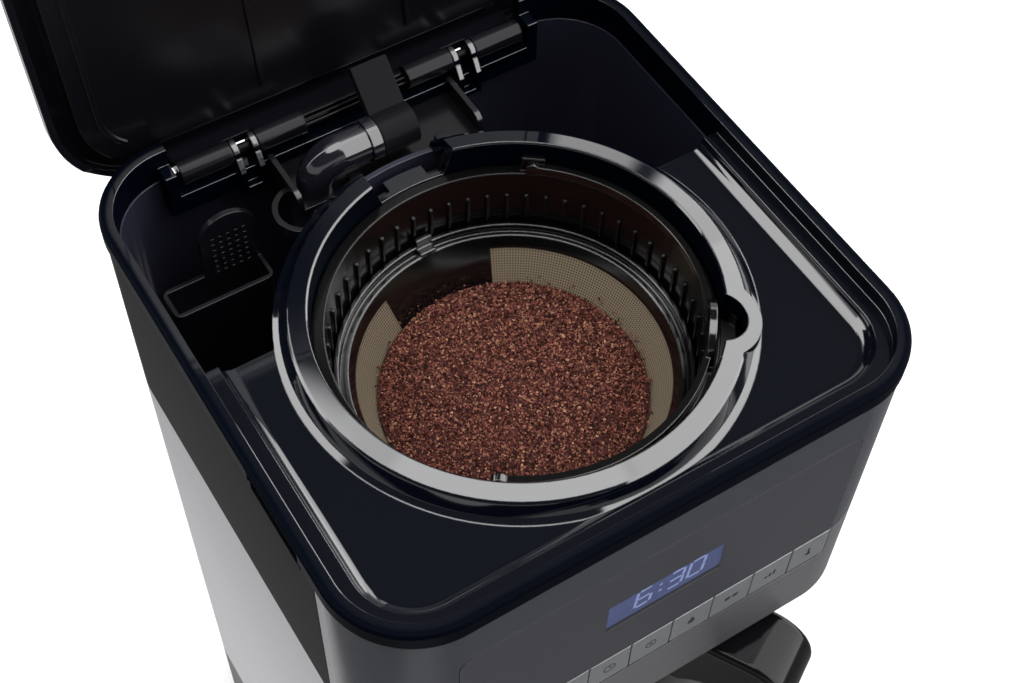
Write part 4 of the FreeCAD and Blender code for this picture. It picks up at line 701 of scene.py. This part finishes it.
@dataclass
class CoffeeHeap:
    """Heap of ground coffee in the filter, as a wavy bed under loose grains. Sizes are in millimetres.

    A pair that varies by chance holds its least value and what chance adds. The pair of tone holds its mean
    and its spread.
    """

    edge_radius: float = 45.6
    edge_height: float = 300.0
    crown: float = 9.0
    waves: Triple = (0.9, 0.45, 0.25)
    wave_sink: float = 0.6
    wave_fade: float = 8.0
    rings: int = 40
    spokes: int = 120
    bed_start: float = 0.4
    bed_depth: float = 0.45
    bed_tone: float = 0.12
    seed: int = 7
    grains: int = 26000
    grain_reach: float = 0.985
    grain_size: Span = (0.25, 0.4)
    grain_lift: Span = (-0.4, 0.85)
    stray_share: float = 0.01
    stray_reach: float = 1.6
    stray_inset: float = 0.4
    cone_rise: float = 1.85
    stretch: Span = (0.65, 0.7)
    chipping: float = 0.25
    tone: Span = (0.42, 0.22)
    chip_share: float = 0.035
    chip_tone: Span = (0.68, 0.25)
    dark_from: float = 0.82
    dark_tone: float = 0.06
    tone_limits: Span = (0.02, 0.98)

    def height(self, radius: np.ndarray, angle: np.ndarray) -> np.ndarray:
        """Top of the bed over the brew axis.

        Args:
            radius: Distance from the axis, in millimetres.
            angle: Angle about the axis, in radians.

        Returns:
            Heights in millimetres.
        """
        x = radius * np.cos(angle)
        y = radius * np.sin(angle)
        dome = self.crown * (1.0 - (radius / self.edge_radius) ** 2)
        # Three waves, about 50, 16 and 9 mm long
        large, middle, small = self.waves
        waves = large * np.sin(0.11 * x + 0.7) * np.cos(0.13 * y - 0.4)
        waves += middle * np.sin(0.31 * x - 0.22 * y + 1.1) + small * np.cos(0.55 * y + 0.37 * x)
        fade = np.clip((self.edge_radius - radius) / self.wave_fade, 0.0, 1.0)
        return self.edge_height + dome + (waves - self.wave_sink) * fade

    @staticmethod
    def _about_axis(radius: np.ndarray, angle: np.ndarray, height: np.ndarray) -> np.ndarray:
        """Points from distances, angles and heights about the brew axis."""
        return np.stack([radius * np.cos(angle), radius * np.sin(angle) + BREW_AXIS[1], height], -1)

    def bed(self) -> tuple[np.ndarray, Faces]:
        """Surface under the loose grains.

        Returns:
            Points and faces.
        """
        radii = np.linspace(self.bed_start, self.edge_radius, self.rings)
        turns = np.arange(self.spokes) * FULL_TURN / self.spokes
        radius, angle = np.meshgrid(radii, turns, indexing="ij")
        points = self._about_axis(radius, angle, self.height(radius, angle) - self.bed_depth)
        middle = tuple(range(self.spokes))
        return points.reshape(-1, 3), ring_faces(self.rings, self.spokes) + [middle]

    def loose(self, start: int) -> tuple[np.ndarray, Faces, np.ndarray]:
        """Irregular grains on the bed.

        Args:
            start: Index of the first grain's first point.

        Returns:
            Points, faces and a tone for each grain.
        """
        count, corners = self.grains, len(GRAIN_CORNERS)
        chance = np.random.default_rng(self.seed)
        radius = self.edge_radius * np.sqrt(chance.random(count)) * self.grain_reach
        angle = chance.random(count) * FULL_TURN
        size = self.grain_size[0] + self.grain_size[1] * chance.random(count) ** 2
        top = self.height(radius, angle) + self.grain_lift[0] + self.grain_lift[1] * chance.random(count)
        stray = chance.random(count) < self.stray_share
        beyond = self.stray_reach * chance.random(count) ** 2
        radius = np.where(stray, self.edge_radius + beyond - self.stray_inset, radius)
        top = np.where(stray, self.edge_height + beyond * self.cone_rise, top)
        centers = self._about_axis(radius, angle, top)
        stretch = self.stretch[0] + self.stretch[1] * chance.random((count, corners, 1))
        shape = np.array(GRAIN_CORNERS, float)[None] * stretch
        shape += self.chipping * chance.standard_normal((count, corners, 3))
        axes = np.linalg.qr(chance.standard_normal((count, 3, 3)))[0]
        points = np.einsum("nij,nkj->nki", axes, shape) * size[:, None, None] + centers[:, None]
        faces: Faces = []
        for first in range(start, start + count * corners, corners):
            faces.extend((first + a, first + b, first + c) for a, b, c in GRAIN_SIDES)
        tone = self.tone[0] + self.tone[1] * chance.standard_normal(count)
        kind = chance.random(count)
        tone = np.where(kind > self.dark_from, self.dark_tone, tone)
        chips = self.chip_tone[0] + self.chip_tone[1] * kind / self.chip_share
        tone = np.where(kind < self.chip_share, chips, tone)
        return points.reshape(-1, 3), faces, np.clip(tone, *self.tone_limits)

    def build(self, painter: Painter) -> bpy.types.Object:
        """Make the heap and let it stand for the CAD node.

        Args:
            painter: Source of the material.

        Returns:
            The heap.
        """
        bed_points, bed_faces = self.bed()
        points, faces, tone = self.loose(len(bed_points))
        heap = mesh_object("coffee_heap", np.concatenate([bed_points, points]), bed_faces + faces)
        bed_tones = np.full(len(bed_points), self.bed_tone)
        values = np.concatenate([bed_tones, np.repeat(tone, len(GRAIN_CORNERS))])
        attribute = heap.data.attributes.new("tone", "FLOAT", "POINT")
        attribute.data.foreach_set("value", values.astype(np.float32))
        heap.data.materials.append(painter.material("ground_coffee"))
        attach(heap, "filter")
        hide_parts("coffee_grounds")
        return heap


@dataclass
class ValveSpring:
    """Compression spring of the drip stop, made at one length, though the real one shortens as the plunger
    rises. Sizes are in millimetres.
    """

    mean_radius: float = 5.2
    wire: float = 0.9
    turns: int = 5
    bottom: float = 248.7
    top: float = 258.9
    travel: float = 4.0
    steps: int = 40
    sides: int = 12

    def wind(self) -> tuple[np.ndarray, Faces]:
        """Wind the wire.

        Returns:
            Points and faces.
        """
        rings, half = self.turns * self.steps + 1, self.wire / 2
        turn = np.linspace(0.0, self.turns * FULL_TURN, rings)[:, None]
        rise = np.linspace(self.bottom + half, self.top - half, rings)[:, None]
        around = np.arange(self.sides) * FULL_TURN / self.sides
        radius = self.mean_radius + half * np.cos(around)[None]
        points = np.stack([radius * np.cos(turn), radius * np.sin(turn) + BREW_AXIS[1],
                           rise + half * np.sin(around)[None]], -1)
        first_end = tuple(range(self.sides))
        last_end = tuple(range(rings * self.sides - 1, (rings - 1) * self.sides - 1, -1))
        return points.reshape(-1, 3), ring_faces(rings, self.sides) + [first_end, last_end]

    def build(self, painter: Painter) -> bpy.types.Object:
        """Make the spring and let it stand for the CAD node.

        Args:
            painter: Source of the material.

        Returns:
            The spring.
        """
        spring = mesh_object("drip_stop_spring", *self.wind())
        spring.data.shade_smooth()
        spring.data.materials.append(painter.material("spring_steel"))
        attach(spring, "basket")
        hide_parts("valve_spring")
        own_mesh(spring)
        return spring


@dataclass
class Stamp:
    """Flat marks in the front face, in millimetres: X across, Z up, raised a little towards the front."""

    name: str
    face_y: float
    rise: float = 0.06
    sink: float = 0.02
    arc_step: float = 15.0
    _points: list[Triple] = field(default_factory=list)
    _faces: Faces = field(default_factory=list)

    def add(self, outline: Points) -> None:
        """Add one convex outline.

        Args:
            outline: Points (x, z), anticlockwise as seen from the front.
        """
        first = len(self._points)
        count = len(outline)
        for depth in (self.face_y - self.rise, self.face_y + self.sink):
            self._points.extend((x, depth, z) for x, z in outline)
        self._faces.append(tuple(range(first, first + count)))
        self._faces.append(tuple(range(first + 2 * count - 1, first + count - 1, -1)))
        for index in range(count):
            after = (index + 1) % count
            self._faces.append((first + index, first + count + index, first + count + after, first + after))

    def bar(self, x: float, z: float, wide: float, high: float, lean: float = 0.0) -> None:
        """Add an upright bar.

        Args:
            x: Middle across.
            z: Middle height.
            wide: Width.
            high: Height.
            lean: Shift of its top to the right, and of its foot to the left.
        """
        left, right, low, top = x - wide / 2, x + wide / 2, z - high / 2, z + high / 2
        self.add([(left - lean, low), (right - lean, low), (right + lean, top), (left + lean, top)])

    def arc(self, x: float, z: float, radius: float, wide: float, start: float, span: float) -> None:
        """Add part of a ring.

        Args:
            x: Middle across.
            z: Middle height.
            radius: Mean radius.
            wide: Width of the line.
            start: First angle in degrees.
            span: Angle covered in degrees.
        """
        steps = max(3, int(span / self.arc_step))
        inner, outer = radius - wide / 2, radius + wide / 2
        for index in range(steps):
            first = math.radians(start + span * index / steps)
            last = math.radians(start + span * (index + 1) / steps)
            self.add([(x + r * math.cos(a), z + r * math.sin(a))
                      for r, a in ((inner, first), (outer, first), (outer, last), (inner, last))])

    def build(self, material: bpy.types.Material, body: str) -> bpy.types.Object:
        """Make the piece on a CAD body.

        Args:
            material: Material of the marks.
            body: CAD body that it rides on.

        Returns:
            The piece.
        """
        made = mesh_object(self.name, np.array(self._points), self._faces)
        made.data.materials.append(material)
        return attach(made, body)


@dataclass
class Display:
    """Clock figures on the display cell. Sizes are in millimetres, steps along the row in pitches."""

    text: str = "6:30"
    center_x: float = 4.0
    center_z: float = 301.0
    high: float = 9.6
    wide: float = 5.6
    line: float = 1.15
    lean: float = 0.09
    level_trim: float = 1.5
    upright_trim: float = 0.5
    pitch: float = 8.0
    row_start: float = 1.3
    colon_rise: float = 2.0
    colon_shift: float = 0.22
    colon_step: float = 0.5
    segments: dict[str, str] = field(default_factory=lambda: {"6": "acdefg", "3": "abcdg", "0": "abcdef"})

    def draw(self, stamp: Stamp, figure: str, x: float) -> None:
        """Draw one seven-segment figure.

        Args:
            stamp: Marks to add to.
            figure: The figure.
            x: Its middle across.
        """
        half = self.high / 2
        levels = {"a": half, "g": 0.0, "d": -half}
        uprights = {"b": (1, 1), "c": (1, -1), "e": (-1, -1), "f": (-1, 1)}
        for name in self.segments[figure]:
            if name in levels:
                rise = levels[name]
                stamp.bar(x + self.lean * rise, self.center_z + rise, self.wide - self.level_trim, self.line)
                continue
            side, way = uprights[name]
            rise = way * half / 2
            stamp.bar(x + side * self.wide / 2 + self.lean * rise, self.center_z + rise, self.line,
                      half - self.upright_trim, self.lean * half / 2)

    def build(self, painter: Painter) -> None:
        """Make the figures.

        Args:
            painter: Source of the material.
        """
        stamp = Stamp("display_figures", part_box("lcd_module")[0].y / MM)
        x = self.center_x - self.pitch * self.row_start
        for figure in self.text:
            if figure == ":":
                for rise in (self.colon_rise, -self.colon_rise):
                    stamp.bar(x - self.pitch * self.colon_shift, self.center_z + rise, self.line, self.line)
                x += self.pitch * self.colon_step
                continue
            self.draw(stamp, figure, x)
            x += self.pitch
        stamp.build(painter.extra("figures", DIGIT_FINISH), "body")


@dataclass
class ButtonMarks:
    """Plain pictograms on the push buttons, each drawn round the middle x, z of its button's face."""

    line: float = 0.45

    def build(self, painter: Painter) -> None:
        """Make one piece of marks per button.

        Args:
            painter: Source of the material.
        """
        drawers = (self.power, self.cup, self.chevrons, self.clock, self.dotted_ring, self.drop,
                   self.two_cups, self.rising_bars, self.thermometer)
        for index, drawer in enumerate(drawers, start=1):
            low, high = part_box(f"button_{index}")
            x = (low.x + high.x) / 2 / MM
            z = (low.z + high.z) / 2 / MM
            stamp = Stamp(f"button_mark_{index}", low.y / MM)
            drawer(stamp, x, z)
            stamp.build(painter.extra("marks", MARK_FINISH), f"key_{index}")

    def power(self, stamp: Stamp, x: float, z: float) -> None:
        """Draw an open ring with a stroke."""
        stamp.arc(x, z, 2.0, self.line, 125, 290)
        stamp.bar(x, z + 1.5, self.line, 2.2)

    def cup(self, stamp: Stamp, x: float, z: float) -> None:
        """Draw a cup with an ear."""
        stamp.bar(x - 0.4, z, 3.0, 2.6)
        stamp.arc(x + 1.2, z + 0.1, 0.9, self.line, -90, 180)

    def chevrons(self, stamp: Stamp, x: float, z: float) -> None:
        """Draw two chevrons."""
        for shift in (-1.0, 0.6):
            stamp.add([(x + shift - 0.5, z - 1.5), (x + shift + 0.9, z), (x + shift - 0.5, z + 1.5)])

    def clock(self, stamp: Stamp, x: float, z: float) -> None:
        """Draw a dial with two hands."""
        stamp.arc(x, z, 2.2, self.line, 0, 360)
        stamp.bar(x, z + 0.7, self.line, 1.5)
        stamp.bar(x + 0.5, z, 1.3, self.line)

    def dotted_ring(self, stamp: Stamp, x: float, z: float) -> None:
        """Draw a ring with a dot."""
        stamp.arc(x, z, 2.0, self.line, 0, 360)
        stamp.bar(x, z, 1.2, 1.2)

    def drop(self, stamp: Stamp, x: float, z: float) -> None:
        """Draw a drop of water."""
        turns = [math.radians(turn) for turn in range(-205, 26, 23)]
        bowl = [(x + 1.5 * math.cos(turn), z - 0.7 + 1.5 * math.sin(turn)) for turn in turns]
        stamp.add(bowl + [(x, z + 2.4)])

    def two_cups(self, stamp: Stamp, x: float, z: float) -> None:
        """Draw two small cups."""
        for shift in (-1.6, 1.6):
            stamp.bar(x + shift, z, 2.1, 2.2)

    def rising_bars(self, stamp: Stamp, x: float, z: float) -> None:
        """Draw three rising bars."""
        for step in range(3):
            stamp.bar(x - 1.7 + 1.7 * step, z - 1.0 + 0.4 * step, 1.0, 1.4 + 0.8 * step)

    def thermometer(self, stamp: Stamp, x: float, z: float) -> None:
        """Draw a thermometer."""
        stamp.bar(x, z + 0.7, 0.8, 3.4)
        stamp.arc(x, z - 1.5, 0.55, 1.1, 0, 360)


# Stage, light and camera

RISING = (0.0, 1.0)
FALLING = (1.0, 0.0)
ZENITH = 90.0


@dataclass(frozen=True)
class Ramp:
    """Smooth change from one level to another as a value crosses a span."""

    span: Span
    ends: Span

    def add(self, tree: Tree, value: Socket) -> Socket:
        """Add the ramp to a tree."""
        return add_range(tree, value, self.span, self.ends, "SMOOTHSTEP")


@dataclass(frozen=True)
class SoftBox:
    """Bright patch of the room, in degrees from +X towards +Y and in degrees over the horizon."""

    first: float
    last: float
    low: float
    high: float
    strength: float
    blur: float = 0.02

    def add(self, tree: Tree, height: Socket, turn: Socket) -> Socket:
        """Add the patch to the world.

        Args:
            tree: The world's tree.
            height: Socket with the sine of the height over the horizon.
            turn: Socket with the bearing, in radians.

        Returns:
            The patch's level.
        """
        edges = [(turn, math.radians(self.first), RISING), (turn, math.radians(self.last), FALLING),
                 (height, math.sin(math.radians(self.low)), RISING)]
        if self.high < ZENITH:
            edges.append((height, math.sin(math.radians(self.high)), FALLING))
        level: Socket | float = self.strength
        for value, edge, ends in edges:
            step = Ramp((edge - self.blur, edge + self.blur), ends).add(tree, value)
            level = add_math(tree, "MULTIPLY", step, level)
        return level


SOFT_BOXES = (
    SoftBox(-181.0, 181.0, -90.0, 26.0, 0.8, 0.04),
    SoftBox(-181.0, 181.0, 69.0, 91.0, 5.2, 0.015),
    SoftBox(82.0, 116.0, 61.0, 91.0, 4.2),
    SoftBox(-75.0, 32.0, -90.0, 72.0, 4.8),
    SoftBox(28.0, 41.0, 20.0, 45.5, 4.0),
    SoftBox(44.0, 53.0, 24.0, 33.0, 2.4),
    SoftBox(86.0, 94.0, 42.0, 52.0, 1.1, 0.03),
    SoftBox(97.0, 156.0, 10.0, 70.0, 4.8, 0.04),
)


@dataclass(frozen=True)
class Studio:
    """Room with a white background.

    Gloss mirrors its soft boxes, and matt faces take a soft light, mostly from overhead. The floor's mirrored
    ramps run along X, in metres: outer and inner make the level at the left.
    """

    white: float = 1.0
    wall: float = 0.06
    ambient: float = 0.3
    slope: Triple = (-0.25, 0.35, 0.2)
    overhead: Ramp = Ramp((0.6, 0.8), (0.0, 1.8))
    floor_half: float = 4000.0
    floor_level: float = -0.5
    floor_tone: float = 0.8
    floor_roughness: float = 0.8
    mirrored_outer: Ramp = Ramp((-0.23, -0.17), (0.06, 1.0))
    mirrored_inner: Ramp = Ramp((-0.14, -0.04), (0.9, 0.22))
    mirrored_right: Ramp = Ramp((0.02, 0.22), (0.22, 0.24))

    def build(self) -> None:
        """Make the world and the floor."""
        self._world()
        self._floor()

    def _world(self) -> None:
        """Make the world, which gives matt faces, gloss and the camera a light each."""
        world = bpy.data.worlds.new("studio")
        bpy.context.scene.world = world
        world.use_nodes = True
        tree = world.node_tree
        tree.nodes.clear()
        axes = split_axes(tree, coordinates(tree, "Generated"))
        path = tree.nodes.new("ShaderNodeLightPath")
        mirrored = self._mirrored(tree, axes)
        level = add_mix(tree, path.outputs["Is Diffuse Ray"], mirrored, self._even(tree, axes))
        level = add_mix(tree, path.outputs["Is Camera Ray"], level, self.white)
        background = tree.nodes.new("ShaderNodeBackground")
        background.inputs["Color"].default_value = (1.0, 1.0, 1.0, 1.0)
        output = tree.nodes.new("ShaderNodeOutputWorld")
        tree.links.new(level, background.inputs["Strength"])
        tree.links.new(background.outputs["Background"], output.inputs["Surface"])

    def _mirrored(self, tree: Tree, axes: bpy.types.NodeOutputs) -> Socket:
        """Level that gloss mirrors: soft boxes in a dark room.

        Args:
            tree: The world's tree.
            axes: Sockets of the direction's X, Y and Z.

        Returns:
            The level's socket.
        """
        turn = add_math(tree, "ARCTAN2", axes["Y"], axes["X"])
        level: Socket | float = self.wall
        for soft_box in SOFT_BOXES:
            level = add_math(tree, "MAXIMUM", soft_box.add(tree, axes["Z"], turn), level)
        return level

    def _even(self, tree: Tree, axes: bpy.types.NodeOutputs) -> Socket:
        """Level that matt faces take: a low slope over the room, and the light overhead.

        Args:
            tree: The world's tree.
            axes: Sockets of the direction's X, Y and Z.

        Returns:
            The level's socket.
        """
        level: Socket | float = self.ambient
        for axis, rate in zip("XYZ", self.slope):
            level = add_math(tree, "MULTIPLY_ADD", axes[axis], rate, level)
        level = add_math(tree, "MAXIMUM", level, 0.0)
        return add_math(tree, "ADD", level, self.overhead.add(tree, axes["Z"]))

    def _floor(self) -> None:
        """Make the pale floor, which keeps the object's shadow. Gloss sees it as a glow along X."""
        half = self.floor_half
        corners = ((-half, -half), (half, -half), (half, half), (-half, half))
        floor = mesh_object("floor", np.array([(x, y, self.floor_level) for x, y in corners]), [(0, 1, 2, 3)])
        material, tree, shader = start_material("floor")
        shader.inputs["Base Color"].default_value = (self.floor_tone, self.floor_tone, self.floor_tone, 1.0)
        shader.inputs["Roughness"].default_value = self.floor_roughness
        shader.inputs["Specular IOR Level"].default_value = 0.0
        along = split_axes(tree, coordinates(tree, "Object"))["X"]
        outer = self.mirrored_outer.add(tree, along)
        left = add_math(tree, "MULTIPLY", outer, self.mirrored_inner.add(tree, along))
        shade = add_math(tree, "MAXIMUM", left, self.mirrored_right.add(tree, along))
        mirrored = tree.nodes.new("ShaderNodeEmission")
        path = tree.nodes.new("ShaderNodeLightPath")
        mix = tree.nodes.new("ShaderNodeMixShader")
        link = tree.links.new
        link(shade, mirrored.inputs["Strength"])
        link(path.outputs["Is Glossy Ray"], mix.inputs["Fac"])
        link(shader.outputs["BSDF"], mix.inputs[1])
        link(mirrored.outputs["Emission"], mix.inputs[2])
        link(mix.outputs["Shader"], tree.nodes["Material Output"].inputs["Surface"])
        floor.data.materials.append(material)
        floor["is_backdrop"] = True


@dataclass(frozen=True)
class PhotoCamera:
    """Camera of the photo in the part's frame: position, lens and sensor in millimetres, clip in metres."""

    position: Triple = (-168.289, -261.946, 757.369)
    right: Triple = (0.848297, -0.529056, 0.022173)
    down: Triple = (-0.422596, -0.701640, -0.573684)
    forward: Triple = (0.319069, 0.477284, -0.818776)
    lens: float = 57.40
    sensor: float = 36.0
    clip: Span = (0.01, 50.0)

    def build(self) -> None:
        """Make the camera and set the view transform."""
        data = bpy.data.cameras.new("photo_camera")
        data.lens = self.lens
        data.sensor_width = self.sensor
        data.clip_start, data.clip_end = self.clip
        camera = bpy.data.objects.new("photo_camera", data)
        scene = bpy.context.scene
        scene.collection.objects.link(camera)
        axes = Matrix((self.right, -Vector(self.down), -Vector(self.forward))).transposed().to_4x4()
        camera.matrix_world = Matrix.Translation(Vector(self.position) * MM) @ axes
        scene.camera = camera
        scene.view_settings.view_transform = "Standard"


def main() -> None:
    """Paint the CAD nodes, add the pieces and set the stage."""
    painter = Painter()
    painter.paint_nodes()
    CoffeeHeap().build(painter)
    ValveSpring().build(painter)
    Display().build(painter)
    ButtonMarks().build(painter)
    Studio().build()
    PhotoCamera().build()
    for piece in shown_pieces():
        LOG.info("%s shown", piece.name)


if __name__ == "__main__":
    main()
